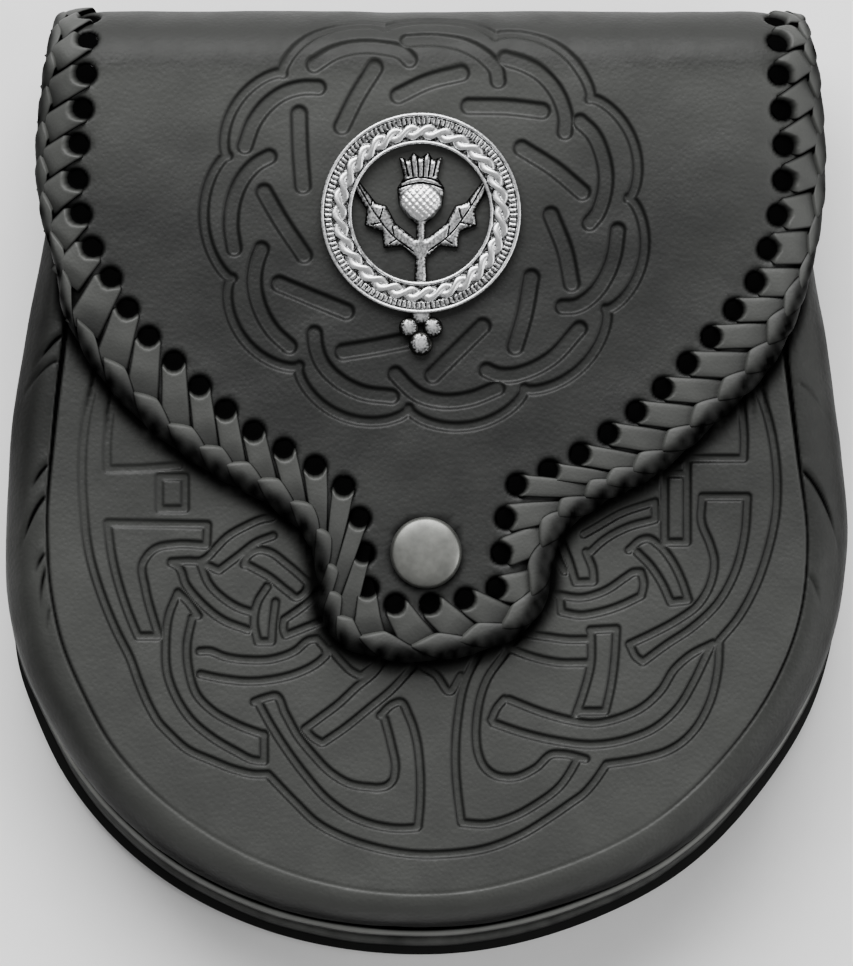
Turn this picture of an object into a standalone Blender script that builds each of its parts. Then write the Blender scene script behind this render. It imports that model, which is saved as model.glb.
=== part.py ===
"""Day sporran pouch: moulded leather body, laced flap, domed snap and pierced badge.

The pouch lies on its back. +X is to the right of its front, +Y points to the fold at the top, +Z
points out of the front, and the origin is the middle of the floor below it. Sizes are in metres.
The tables are in millimetres and are turned to metres where they are read.
"""
import math
from collections import namedtuple

import bmesh
import bpy
import numpy as np

MM = 0.001
COLLECTION = "sporran_pouch"
GAP = 0.3 * MM  # clearance between pieces that touch

# body
FRONT_Z = 35.0 * MM  # flat tooled face of the front panel
SEAM_Z = 25.5 * MM  # underside of the front panel's seam flange
BACK_RISE = 12.0 * MM  # how far the back panel rises from its bottom edge to the top fold
BOTTOM_Y = -100.2 * MM
TOP_Y = 100.2 * MM
PANEL_WALL = 2.2 * MM
GUSSET_WALL = 2.0 * MM
BACK_WALL = 2.4 * MM
BACK_TOP_Y = 84.0 * MM
BACK_TOP_HALF = 73.4 * MM
ROLL_DEPTH = 8.8 * MM  # how far the rounded border falls from crease to rim
CREASE_DEPTH = 0.6 * MM
CREASE_HALF = 0.8 * MM
FLANGE = 5.0 * MM
FRONT_WELT_RADIUS = 1.1 * MM
FRONT_WELT_INSET = 1.4 * MM
FRONT_WELT_FOLLOW = 0.73  # share of the rim's inset that the front welt follows
BACK_WELT_RADIUS = 1.3 * MM
BACK_WELT_INSET = 3.1 * MM
GUSSET_BULGE = 0.9 * MM
BODY_STEP = 8.8 * MM
OUTLINE_SAMPLES = 2000
TANGENT_STEP = 0.5  # half the length in mm over which the outline's direction is taken
PUCKER_STEP = 3.8 * MM
PUCKER_ZONE = 38.0 * MM  # the borders are puckered below this height
PUCKER_FOOT = -34.0 * MM

# flap
FLAP_WALL = 2.4 * MM
THONG = 1.1 * MM  # thickness of the lacing on each face of the flap
LACE_GAP = 0.45 * MM
FLAP_Z = FRONT_Z + GAP + THONG + LACE_GAP + FLAP_WALL / 2  # middle of the leather over the front
FOLD_Y = 86.0 * MM  # where the flap begins to turn over the top
FOLD_REACH = 12.2 * MM  # from there to the middle of the leather at the fold's crest
TAIL_Y = 67.5 * MM  # end of the flap on the back
TAIL_HALF = 66.0 * MM
DROOP_START = 66.0 * MM  # the flap's sides droop beyond this half width
DROOP_SPAN = 16.0 * MM
RIM_OVERHANG = 2.0 * MM  # braided rim outside the leather's edge
HOLE_RADIUS = 2.1 * MM
HOLE_SIDES = 6
HOLE_COUNT = 51
HOLE_SAMPLES = 3000
EDGE_STEP = 6.2 * MM
TAIL_CORNER = 4.0 * MM
POINT_WELD = 0.03 * MM  # points of the faceted leather closer than this become one
FLAT_ANGLE = math.radians(1.0)  # facets that meet at less than this become one
FOLD_SAMPLES = 400
FOLD_CREASES = 10  # lines across the flap at which its faceted form turns over the top
DROOP_CREASES = (70.0 * MM, 74.6 * MM)  # and half widths at which its sides turn down
DROOP_FULL_V = 58.0 * MM

# lacing
RIM_SWELL = 0.4 * MM
RIDGE = 0.25 * MM
HOLE_MARGIN = 2.6 * MM  # from a hole's centre to the ends of the stitches beside it
VALLEY_CUT = 2.4 * MM  # the stitches end this much earlier between the holes
STITCH_LEAN = 3.4 * MM
STITCH_END = 0.8 * MM
RIM_TUCK = 0.2 * MM
RIM_FLAT = 0.45  # share of the rim's thickness that is flat at its outer edge
LACE_SHORT = 1.0 * MM  # the lacing ends this far before the fold does
LACE_TAIL = 3.0  # length of lacing beyond the last holes, in mm
CREST_AHEAD = 18.0 * MM  # from the fold's start to the row below that shapes its crest
Drawn = namedtuple("Drawn", "rim hole")
CREST_DRAWN = Drawn(2.4, 0.8)  # how far rim and holes draw inwards at the fold's crest, in mm
END_DRAWN = Drawn(4.2, 2.0)  # and at the lacing's ends on the back

# snap
SNAP_AT = (-0.1 * MM, -14.6 * MM)
CAP_RADIUS = 7.5 * MM
CAP_HEIGHT = 3.0 * MM
SHANK_RADIUS = 2.0 * MM
SOCKET_RADIUS = 5.2 * MM
SOCKET_THICK = 0.9 * MM
SOCKET_RECESS = 1.0 * MM
STUD_RADIUS = 1.0 * MM
STUD_TAPER = 0.3 * MM
STUD_COLLAR = 1.6 * MM
COLLAR_SUNK = 0.2 * MM
STUD_HOLE_RADIUS = 1.9 * MM
STUD_HOLE_CUT = 10.0 * MM
STUD_FOOT = 4.6 * MM
STUD_FOOT_THICK = 0.9 * MM
SNAP_HOLE_RADIUS = 2.4 * MM
CAP_STEPS = 20
STUD_STEPS = 16
SNAP_HOLE_SIDES = 12

# badge
BADGE_AT = (-1.2 * MM, 56.6 * MM)
RING_OUTER = 21.1 * MM
RING_INNER = 14.4 * MM
RING_LIP = 0.9 * MM
LIP_SLANT = 0.2 * MM
RING_STEPS = 28
RING_THICK = 2.1 * MM
RING_SUNK = 0.6 * MM
MOTIF_THICK = 1.2 * MM
MOTIF_LIFT = 0.1 * MM  # the pierced work lies this far above the ring's underside
POST_RADIUS = 1.1 * MM
POST_HOLE_RADIUS = 1.45 * MM
POST_REACH = 17.6 * MM
POST_RISE = 0.8 * MM  # from the ring's underside to the post's top, inside the ring
POST_BEYOND = 1.2 * MM  # the posts end this far below the leather and its clearance
POST_SIDES = 8

# strap loops on the back
LOOP_X = 46.0 * MM
LOOP_WIDE = 22.0 * MM
LOOP_WALL = 2.2 * MM
LOOP_SLOT = (30.0 * MM, 56.0 * MM)  # the strap passes between these heights
LOOP_FOOT = 8.0 * MM
LOOP_CORNER = 1.2 * MM

# The body's outline from the mouth on the left, round the bottom, to the mouth on the right, in mm.
# rim and back say how far the front rim and the back panel's edge lie inside it, and border is the
# width of the rounded border from rim to crease.
BodyRow = namedtuple("BodyRow", "x y rim back border")
BODY_ROWS = (
    BodyRow(-75.0, 80.0, 0.0, 1.0, 9.6),
    BodyRow(-78.4, 62.0, 0.0, 1.0, 9.2),
    BodyRow(-82.2, 42.5, 0.0, 1.0, 8.0),
    BodyRow(-85.0, 28.0, 0.0, 1.0, 8.6),
    BodyRow(-87.4, 10.5, 0.0, 1.0, 9.0),
    BodyRow(-88.5, -8.0, 0.0, 1.0, 8.8),
    BodyRow(-88.4, -25.0, 0.2, 0.7, 9.6),
    BodyRow(-86.6, -39.0, 1.5, 0.2, 9.8),
    BodyRow(-82.6, -50.0, 2.6, 0.0, 9.4),
    BodyRow(-76.8, -62.0, 3.6, 0.0, 9.2),
    BodyRow(-67.6, -74.0, 4.4, 0.0, 9.2),
    BodyRow(-55.1, -84.6, 4.8, 0.0, 9.4),
    BodyRow(-35.6, -94.4, 5.2, 0.0, 9.0),
    BodyRow(-12.7, -99.5, 5.6, 0.0, 8.2),
    BodyRow(9.3, -99.5, 5.6, 0.0, 8.2),
    BodyRow(33.3, -93.4, 5.2, 0.0, 8.6),
    BodyRow(55.0, -81.8, 4.2, 0.0, 8.8),
    BodyRow(70.9, -65.4, 3.2, 0.0, 8.4),
    BodyRow(81.8, -47.4, 2.0, 0.0, 8.2),
    BodyRow(87.0, -30.0, 0.6, 0.4, 8.2),
    BodyRow(88.7, -11.0, 0.0, 1.0, 8.7),
    BodyRow(87.3, 6.0, 0.0, 1.0, 9.2),
    BodyRow(84.8, 26.0, 0.0, 1.0, 9.2),
    BodyRow(81.9, 42.5, 0.0, 1.0, 8.4),
    BodyRow(78.4, 62.0, 0.0, 1.0, 9.2),
    BodyRow(75.0, 80.0, 0.0, 1.0, 9.6),
)

# Diagonal puckers of the border: side, height at the crease, how much lower they reach the rim,
# depth and half width, in mm.
Pucker = namedtuple("Pucker", "side y drop depth width")
PUCKERS = (
    Pucker(-1, 31.0, 9.0, 0.8, 2.6),
    Pucker(-1, 22.0, 8.0, 0.5, 2.4),
    Pucker(-1, 4.0, 9.0, 0.9, 2.6),
    Pucker(-1, -4.0, 16.0, 1.1, 3.0),
    Pucker(-1, -16.0, 9.0, 0.7, 2.4),
    Pucker(1, 22.0, 9.0, 0.6, 2.8),
    Pucker(1, 3.0, 18.0, 1.2, 3.2),
)

# The rounded border's rows from crease to rim: degrees of its quarter turn, and the share of the
# puckers' depth that they take.
RollRow = namedtuple("RollRow", "degrees pucker")
ROLL_ROWS = (
    RollRow(36.0, 0.95),
    RollRow(62.0, 0.64),
    RollRow(90.0, 0.45),
)

# The flap's laced edge on the flat pattern, from the left side, round the tongue, to the right side,
# in mm: the rim's outer line, and the line through the holes that belongs to it.
EdgeRow = namedtuple("EdgeRow", "x y hole_x hole_y")
EDGE_ROWS = (
    EdgeRow(-80.4, 84.0, -71.6, 84.0),
    EdgeRow(-81.6, 66.0, -73.2, 66.0),
    EdgeRow(-80.1, 53.6, -72.4, 55.6),
    EdgeRow(-77.8, 45.4, -69.8, 48.4),
    EdgeRow(-76.4, 36.5, -65.8, 42.0),
    EdgeRow(-72.2, 27.8, -61.8, 34.8),
    EdgeRow(-60.2, 13.2, -51.4, 23.8),
    EdgeRow(-44.8, 1.9, -38.2, 12.0),
    EdgeRow(-32.0, -5.4, -27.0, 5.2),
    EdgeRow(-25.2, -11.8, -17.6, -0.6),
    EdgeRow(-22.9, -19.4, -13.4, -10.0),
    EdgeRow(-22.4, -26.4, -13.2, -18.0),
    EdgeRow(-18.8, -33.2, -11.8, -23.6),
    EdgeRow(-10.4, -36.6, -7.2, -25.5),
    EdgeRow(0.0, -37.4, 0.0, -25.6),
    EdgeRow(11.0, -35.3, 7.8, -24.5),
    EdgeRow(20.8, -30.8, 14.4, -22.8),
    EdgeRow(25.4, -23.6, 15.7, -16.6),
    EdgeRow(26.4, -16.4, 16.4, -9.0),
    EdgeRow(29.0, -10.4, 18.8, -0.8),
    EdgeRow(36.2, -4.8, 28.0, 3.4),
    EdgeRow(47.6, 1.4, 39.8, 11.4),
    EdgeRow(61.0, 12.9, 52.3, 22.3),
    EdgeRow(72.8, 25.2, 63.4, 34.8),
    EdgeRow(77.8, 35.0, 69.2, 42.2),
    EdgeRow(80.6, 44.0, 72.0, 50.2),
    EdgeRow(82.6, 55.0, 74.2, 58.6),
    EdgeRow(83.3, 66.0, 74.9, 67.0),
    EdgeRow(82.3, 84.0, 74.0, 84.0),
)

# How far the flap's sides droop at the end of DROOP_SPAN, by height on the flat pattern, in mm.
DroopRow = namedtuple("DroopRow", "v droop")
DROOP_ROWS = (
    DroopRow(34.0, 0.0),
    DroopRow(44.0, 1.6),
    DroopRow(52.0, 4.0),
    DroopRow(62.0, 6.4),
    DroopRow(78.0, 6.4),
    DroopRow(94.0, 4.6),
    DroopRow(108.0, 2.4),
    DroopRow(128.0, 2.4),
)

# The snap cap's dome, as shares of its radius and height, from its top to its underside.
CapPoint = namedtuple("CapPoint", "radius height")
CAP_DOME = (
    CapPoint(0.0, 1.0),
    CapPoint(0.45, 0.92),
    CapPoint(0.78, 0.66),
    CapPoint(0.95, 0.36),
    CapPoint(1.0, 0.12),
    CapPoint(0.97, 0.0),
)

# The right half of the badge's thistle, from the tuft's middle down to the stem's foot, in mm.
ThistlePoint = namedtuple("ThistlePoint", "x y")
THISTLE_HALF = (
    ThistlePoint(0.0, 11.6),
    ThistlePoint(1.6, 12.8),
    ThistlePoint(2.6, 11.2),
    ThistlePoint(4.6, 11.8),
    ThistlePoint(3.6, 7.4),
    ThistlePoint(5.0, 5.2),
    ThistlePoint(4.6, 1.6),
    ThistlePoint(2.4, -1.2),
    ThistlePoint(1.0, -2.4),
    ThistlePoint(1.0, -5.4),
    ThistlePoint(5.2, -2.2),
    ThistlePoint(7.2, 1.6),
    ThistlePoint(9.4, 2.2),
    ThistlePoint(13.6, 7.6),
    ThistlePoint(14.2, 5.2),
    ThistlePoint(11.4, 0.6),
    ThistlePoint(11.8, -2.6),
    ThistlePoint(8.2, -4.0),
    ThistlePoint(7.8, -7.4),
    ThistlePoint(4.0, -7.0),
    ThistlePoint(1.2, -9.4),
    ThistlePoint(1.4, -15.0),
)
HEAD_RADIUS = 4.2 * MM  # the thistle's domed head
HEAD_RISE = 1.9 * MM
HEAD_Y = 3.2 * MM
HEAD_STEPS = 12
HEAD_DEGREES = (90.0, 60.0, 30.0, 0.0)

LOBE_SIDES = 10
LOBE_STEP = 0.12 * MM  # each lobe of the drop is this much thicker than the one before it

# The drop below the badge's ring: lobes with their centre and radius, in mm.
Lobe = namedtuple("Lobe", "x y radius")
DROP_LOBES = (
    Lobe(0.0, -21.4, 2.2),
    Lobe(-2.5, -24.0, 2.1),
    Lobe(2.5, -24.0, 2.1),
    Lobe(0.0, -27.4, 2.5),
)


# ---------------------------------------------------------------- curves and meshes


def smooth_rows(rows, where):
    """Rows read at the lengths `where`, in mm along the chords between their first two columns.

    Each column is a cubic between two rows whose slope at a row comes from the rows beside it.
    """
    rows = np.array(rows, float)
    chord = np.concatenate([[0.0], np.cumsum(np.linalg.norm(np.diff(rows[:, :2], axis=0), axis=1))])
    slope = np.gradient(rows, chord, axis=0)
    k = np.clip(np.searchsorted(chord, where, side="right") - 1, 0, len(rows) - 2)
    span = (chord[k + 1] - chord[k])[:, None]
    t = (where - chord[k])[:, None] / span
    start = rows[k] * (1 + 2 * t) * (1 - t) ** 2 + slope[k] * span * t * (1 - t) ** 2
    end = rows[k + 1] * (3 - 2 * t) * t**2 - slope[k + 1] * span * (1 - t) * t**2
    return start + end


def chord_length(rows):
    """The length of the chords between the first two columns of the rows, in mm."""
    rows = np.array(rows, float)
    return np.linalg.norm(np.diff(rows[:, :2], axis=0), axis=1).sum()


def spread(density, count):
    """Parameters 0..1 of `count` stations, spaced so that the density times the spacing is even."""
    total = np.concatenate([[0.0], np.cumsum((density[1:] + density[:-1]) / 2)])
    fine = np.linspace(0.0, 1.0, len(density))
    return np.interp(np.linspace(0.0, total[-1], count), total, fine)


def new_object(name, mesh):
    """An object for a mesh, in the pouch's collection."""
    made = bpy.data.objects.new(name, mesh)
    bpy.data.collections[COLLECTION].objects.link(made)
    return made


def lofted(name, rows, cap=False, closed=False):
    """An open surface through rows of points, optionally with its first row filled in.

    With closed, each row is a ring, and both ends are filled, which makes a solid.
    """
    rows = np.asarray(rows)
    sheet = bmesh.new()
    grid = [[sheet.verts.new(point) for point in row] for row in rows]
    last = len(grid[0]) - (0 if closed else 1)
    for near, far in zip(grid, grid[1:]):
        for i in range(last):
            j = (i + 1) % len(near)
            sheet.faces.new((near[i], far[i], far[j], near[j]))
    if cap or closed:
        sheet.faces.new(grid[0])
    if closed:
        sheet.faces.new(grid[-1][::-1])
    bmesh.ops.recalc_face_normals(sheet, faces=sheet.faces)
    mesh = bpy.data.meshes.new(name)
    sheet.to_mesh(mesh)
    sheet.free()
    return new_object(name, mesh)


def turned_out(thing, direction):
    """Flips a sheet's faces if the one furthest in a direction looks the other way."""
    mesh = thing.data
    furthest = max(mesh.polygons, key=lambda face: face.center.dot(direction))
    if furthest.normal.dot(direction) < 0:
        mesh.flip_normals()
    return thing


def walled(thing, thickness, offset=-1.0):
    """Gives an open sheet its wall, inwards from its faces unless the offset says otherwise."""
    wall = thing.modifiers.new("wall", "SOLIDIFY")
    wall.thickness = thickness
    wall.offset = offset
    wall.use_even_offset = True
    return thing


def turned(name, profile, steps):
    """A solid turned about Z from a closed profile of (radius, height), down its outer side."""
    line = bpy.data.meshes.new(name)
    corners = [(radius, 0.0, height) for radius, height in profile]
    line.from_pydata(corners, [(i, i + 1) for i in range(len(corners) - 1)], [])
    made = new_object(name, line)
    screw = made.modifiers.new("turn", "SCREW")
    screw.steps = steps
    screw.render_steps = steps
    screw.use_merge_vertices = True
    screw.merge_threshold = 0.01 * MM
    return made


def outline_curve(name, outlines, half_thick):
    """A flat 2D curve with the first outline filled and the others cut out of it."""
    curve = bpy.data.curves.new(name, "CURVE")
    curve.dimensions = "2D"
    curve.fill_mode = "BOTH"
    curve.extrude = half_thick
    for outline in outlines:
        spline = curve.splines.new("POLY")
        spline.points.add(len(outline) - 1)
        for point, (x, y) in zip(spline.points, outline):
            point.co = (x, y, 0.0, 1.0)
        spline.use_cyclic_u = True
    return new_object(name, curve)


def as_mesh(thing):
    """The object with its curve and modifiers made into one welded mesh under the same name."""
    name = thing.name
    bpy.context.view_layer.update()
    depsgraph = bpy.context.evaluated_depsgraph_get()
    mesh = bpy.data.meshes.new_from_object(thing.evaluated_get(depsgraph))
    world = thing.matrix_world.copy()
    shape = bmesh.new()
    shape.from_mesh(mesh)
    bmesh.ops.remove_doubles(shape, verts=shape.verts, dist=0.001 * MM)
    shape.to_mesh(mesh)
    shape.free()
    bpy.data.objects.remove(thing)
    mesh.name = name
    made = new_object(name, mesh)
    made.matrix_world = world
    return made


def joined(thing, others):
    """The exact union of an object with others, which are used up."""
    for other in others:
        fuse = thing.modifiers.new("fuse", "BOOLEAN")
        fuse.operation = "UNION"
        fuse.solver = "EXACT"
        fuse.object = other
        thing = as_mesh(thing)
        bpy.data.objects.remove(other)
    return thing


def drilled(thing, cutter):
    """The object with a cutter's hole through it. The cutter stays in its own collection."""
    cutter.hide_render = True
    cutter.display_type = "WIRE"
    for collection in cutter.users_collection:
        collection.objects.unlink(cutter)
    bpy.data.collections[COLLECTION + "_cutters"].objects.link(cutter)
    cut = thing.modifiers.new("hole", "BOOLEAN")
    cut.operation = "DIFFERENCE"
    cut.solver = "EXACT"
    cut.object = cutter
    return thing


def circle(centre, radius, sides):
    """Corners of a regular polygon round a centre, anticlockwise."""
    turn = np.arange(sides) * 2 * math.pi / sides
    return np.stack([centre[0] + radius * np.cos(turn), centre[1] + radius * np.sin(turn)], axis=1)


# ---------------------------------------------------------------- shared shapes


def back_z(y):
    """Height of the back panel's outer face above the floor."""
    return BACK_RISE * (y - BOTTOM_Y) / (TOP_Y - BOTTOM_Y)


def body_stations(fine):
    """Points, normals and the other columns of the body's outline, in metres.

    The stations stand PUCKER_STEP apart along the puckered borders if fine, BODY_STEP elsewhere.
    """
    length = chord_length(BODY_ROWS)
    rows = smooth_rows(BODY_ROWS, np.linspace(0.0, length, OUTLINE_SAMPLES)) * MM
    puckered = fine & (rows[:, 1] < PUCKER_ZONE) & (rows[:, 1] > PUCKER_FOOT)
    step = np.where(puckered, PUCKER_STEP, BODY_STEP)
    density = np.linalg.norm(np.gradient(rows[:, :2], axis=0), axis=1) / step
    at = spread(density, int(density.sum()) + 1)
    rows = smooth_rows(BODY_ROWS, at * length) * MM
    ahead = smooth_rows(BODY_ROWS, np.minimum(at * length + TANGENT_STEP, length)) * MM
    behind = smooth_rows(BODY_ROWS, np.maximum(at * length - TANGENT_STEP, 0.0)) * MM
    along = (ahead - behind)[:, :2]
    along /= np.linalg.norm(along, axis=1)[:, None]
    normals = np.stack([along[:, 1], -along[:, 0]], axis=1)
    return rows[:, :2], normals, rows[:, 2], rows[:, 3], rows[:, 4]


def ring_at(points, normals, inset, height):
    """Points that far inside the outline, at a height, as rows of (x, y, z)."""
    flat = points - normals * np.broadcast_to(inset, len(points))[:, None]
    return np.column_stack([flat, np.broadcast_to(height, len(points))])


def ring_on_back(points, normals, inset, rise):
    """Points that far inside the outline, and that far above the back panel's inner face."""
    ring = ring_at(points, normals, inset, 0.0)
    ring[:, 2] = back_z(ring[:, 1]) + BACK_WALL + rise
    return ring


def pucker_dents(points, across):
    """How deep the puckers dent the border at its stations, `across` of the way out to the rim."""
    dents = np.zeros(len(points))
    for pucker in PUCKERS:
        middle = (pucker.y - pucker.drop * across) * MM
        near = np.exp(-(((points[:, 1] - middle) / (pucker.width * MM)) ** 2))
        dents += np.where(np.sign(points[:, 0]) == pucker.side, pucker.depth * MM * near, 0.0)
    return dents


def fold_line():
    """The flap's middle line over the top: length v along it, then y, z and the outward normal."""
    tail_z = back_z(FOLD_Y) - GAP - FLAP_WALL / 2
    half = (FLAP_Z - tail_z) / 2
    turn = np.linspace(0.0, math.pi, FOLD_SAMPLES)
    y = FOLD_Y + FOLD_REACH * np.sin(turn)
    z = tail_z + half + half * np.cos(turn)
    v = FOLD_Y + np.concatenate([[0.0], np.cumsum(np.hypot(np.diff(y), np.diff(z)))])
    normal_y = np.sin(turn) * half
    normal_z = np.cos(turn) * FOLD_REACH
    size = np.hypot(normal_y, normal_z)
    return v, y, z, normal_y / size, normal_z / size


FOLD = fold_line()
FOLD_END = FOLD[0][-1]


def droop(x, v):
    """How far the flap's side hangs inwards at (x, v) of its pattern, and its slope outwards."""
    most = np.interp(v, [row.v * MM for row in DROOP_ROWS], [row.droop * MM for row in DROOP_ROWS])
    beyond = np.maximum(np.abs(x) - DROOP_START, 0.0) / DROOP_SPAN
    return most * beyond**2, 2 * most * beyond / DROOP_SPAN


def bent(x, v, w):
    """Points of the bent flap from its flat pattern: across, along, and out of the leather's middle."""
    tail = np.maximum(v - FOLD_END, 0.0)
    slope = math.atan2(BACK_RISE, TOP_Y - BOTTOM_Y)
    y = np.where(v < FOLD_Y, v, np.interp(v, FOLD[0], FOLD[1])) - tail * math.cos(slope)
    z = np.interp(v, FOLD[0], FOLD[2]) - tail * math.sin(slope)
    normal_y = np.where(tail > 0, math.sin(slope), np.interp(v, FOLD[0], FOLD[3]))
    normal_z = np.where(tail > 0, -math.cos(slope), np.interp(v, FOLD[0], FOLD[4]))
    hang, steep = droop(x, v)
    lean = np.arctan(steep) * np.sign(x)
    rise = w * np.cos(lean) - hang
    return np.column_stack([x + w * np.sin(lean), y + rise * normal_y, z + rise * normal_z])


def edge_rows():
    """EDGE_ROWS with the fold's rows added at both ends, so that the lacing runs over the top."""
    left = EDGE_ROWS[0]
    right = EDGE_ROWS[-1]
    crest = (FOLD_Y + CREST_AHEAD) / MM
    end = (FOLD_END - LACE_SHORT) / MM
    over = ((crest, CREST_DRAWN), (end, END_DRAWN))
    head = [EdgeRow(left.x + by.rim, v, left.hole_x + by.hole, v) for v, by in reversed(over)]
    foot = [EdgeRow(right.x - by.rim, v, right.hole_x - by.hole, v) for v, by in over]
    return (*head, *EDGE_ROWS, *foot)


def edge_at(where):
    """The rim's line and the hole line on the pattern, in metres, at the chord lengths `where`."""
    rows = smooth_rows(edge_rows(), where) * MM
    return rows[:, :2], rows[:, 2:]


def hole_lengths():
    """Chord lengths of the evenly spaced holes, from the back on the left to the back on the right."""
    length = chord_length(edge_rows())
    fine = np.linspace(0.0, length, HOLE_SAMPLES)
    holes = edge_at(fine)[1]
    run = np.concatenate([[0.0], np.cumsum(np.linalg.norm(np.diff(holes, axis=0), axis=1))])
    even = (np.arange(HOLE_COUNT) + 0.5) / HOLE_COUNT * run[-1]
    return np.interp(even, run, fine)


# ---------------------------------------------------------------- the body


def make_front_panel():
    """Moulded front: flat face, creased and rounded border, rim, and the flange sewn to the gusset."""
    points, normals, rim, _, border = body_stations(fine=True)
    crease = rim + border
    rows = [
        ring_at(points, normals, crease + CREASE_HALF, FRONT_Z),
        ring_at(points, normals, crease, FRONT_Z - CREASE_DEPTH),
        ring_at(points, normals, crease - CREASE_HALF, FRONT_Z),
    ]
    for row in ROLL_ROWS:
        turn = math.radians(row.degrees)
        dents = pucker_dents(points, math.sin(turn)) * row.pucker
        inset = crease - border * math.sin(turn) + dents * math.sin(turn)
        height = FRONT_Z - ROLL_DEPTH * (1 - math.cos(turn)) - dents * math.cos(turn)
        rows.append(ring_at(points, normals, inset, height))
    rows.append(ring_at(points, normals, rim, SEAM_Z))
    rows.append(ring_at(points, normals, rim + FLANGE, SEAM_Z))
    panel = turned_out(lofted("front_panel", rows, cap=True), (0, 0, 1))
    walled(panel, PANEL_WALL)
    bpy.ops.mesh.primitive_cylinder_add(
        vertices=STUD_STEPS,
        radius=STUD_HOLE_RADIUS,
        depth=STUD_HOLE_CUT,
        location=(*SNAP_AT, FRONT_Z),
    )
    hole = bpy.context.object
    hole.name = "stud_hole"
    return drilled(panel, hole)


def make_welt(name, line, radius):
    """A round bead along a line."""
    curve = bpy.data.curves.new(name, "CURVE")
    curve.dimensions = "3D"
    curve.bevel_depth = radius
    curve.bevel_resolution = 1
    curve.use_fill_caps = True
    spline = curve.splines.new("POLY")
    spline.points.add(len(line) - 1)
    for point, co in zip(spline.points, line):
        point.co = (*co, 1.0)
    return new_object(name, curve)


def front_welt_inset(rim):
    """How far the middle of the front welt lies inside the outline."""
    return FRONT_WELT_INSET + FRONT_WELT_FOLLOW * rim


def make_front_welt():
    """Bead in the seam between the front panel's flange and the gusset."""
    points, normals, rim, _, _ = body_stations(fine=False)
    height = SEAM_Z - GAP - FRONT_WELT_RADIUS
    line = ring_at(points, normals, front_welt_inset(rim), height)
    return make_welt("front_welt", line, FRONT_WELT_RADIUS)


def make_back_welt():
    """Bead in the seam between the gusset and the back panel."""
    points, normals, _, _, _ = body_stations(fine=False)
    line = ring_on_back(points, normals, BACK_WELT_INSET, GAP + BACK_WELT_RADIUS)
    return make_welt("back_welt", line, BACK_WELT_RADIUS)


def make_gusset():
    """Side wall from the back panel to the front panel's flange, bulging a little between the welts."""
    points, normals, rim, _, _ = body_stations(fine=False)
    front = front_welt_inset(rim) + FRONT_WELT_RADIUS + GAP
    back = np.full(len(points), BACK_WELT_INSET + BACK_WELT_RADIUS + GAP)
    high = SEAM_Z - GAP
    upright = 2 * BACK_WELT_RADIUS + GAP
    low = ring_on_back(points, normals, back, GAP)
    middle = (front + back) / 2 - GUSSET_BULGE
    rows = [
        low,
        ring_on_back(points, normals, back, GAP + upright),
        ring_at(points, normals, middle, (low[:, 2] + high) / 2),
        ring_at(points, normals, front, high - upright),
        ring_at(points, normals, front, high),
    ]
    return walled(turned_out(lofted("gusset", rows), (0, -1, 0)), GUSSET_WALL)


def make_back_panel():
    """Flat back, sloping up from its bottom edge, with its top edge straight across."""
    points, normals, _, back, _ = body_stations(fine=False)
    edge = points - normals * back[:, None]
    corners = [(-BACK_TOP_HALF, BACK_TOP_Y), *edge, (BACK_TOP_HALF, BACK_TOP_Y)]
    sheet = bmesh.new()
    sheet.faces.new([sheet.verts.new((x, y, back_z(y))) for x, y in corners])
    mesh = bpy.data.meshes.new("back_panel")
    sheet.to_mesh(mesh)
    sheet.free()
    panel = turned_out(new_object("back_panel", mesh), (0, 0, -1))
    return walled(panel, BACK_WALL)


# ---------------------------------------------------------------- the flap and its lacing


def make_flap():
    """The flap cut flat with its punched holes, then bent over the top and drooped at its sides."""
    length = chord_length(edge_rows())
    count = int(length * MM / EDGE_STEP)
    rim, holes = edge_at(np.linspace(0.0, length, count))
    inwards = holes - rim
    inwards /= np.linalg.norm(inwards, axis=1)[:, None]
    edge = rim + inwards * RIM_OVERHANG
    tail_v = FOLD_END + (FOLD_Y - TAIL_Y)
    tail = [
        (TAIL_HALF, FOLD_END + TAIL_CORNER),
        (TAIL_HALF, tail_v - TAIL_CORNER),
        (TAIL_HALF - TAIL_CORNER, tail_v),
    ]
    outline = [*edge, *tail, *[(-x, v) for x, v in reversed(tail)]]
    cuts = [circle(at, HOLE_RADIUS, HOLE_SIDES) for at in edge_at(hole_lengths())[1]]
    cuts.append(circle(SNAP_AT, SNAP_HOLE_RADIUS, SNAP_HOLE_SIDES))
    for side in (-1, 1):
        cuts.append(circle((BADGE_AT[0] + side * POST_REACH, BADGE_AT[1]), POST_HOLE_RADIUS, POST_SIDES))
    flap = as_mesh(outline_curve("flap", [outline, *cuts], FLAP_WALL / 2))
    shape = bmesh.new()
    shape.from_mesh(flap.data)
    at_turns = np.linspace(0, FOLD_SAMPLES - 1, FOLD_CREASES).astype(int)
    across = [(side * half, 0.0) for half in DROOP_CREASES for side in (-1, 1)]
    along = [(0.0, v) for v in (*FOLD[0][at_turns], DROOP_FULL_V)]
    for x, v in across + along:
        normal = (1, 0, 0) if x else (0, 1, 0)
        everything = shape.verts[:] + shape.edges[:] + shape.faces[:]
        bmesh.ops.bisect_plane(shape, geom=everything, plane_co=(x, v, 0), plane_no=normal)
    bmesh.ops.remove_doubles(shape, verts=shape.verts, dist=POINT_WELD)
    flat = np.array([vert.co[:] for vert in shape.verts])
    for vert, place in zip(shape.verts, bent(*flat.T)):
        vert.co = place
    bmesh.ops.dissolve_limit(shape, angle_limit=FLAT_ANGLE, verts=shape.verts, edges=shape.edges)
    bmesh.ops.triangulate(shape, faces=shape.faces)
    shape.to_mesh(flap.data)
    shape.free()
    return flap


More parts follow.
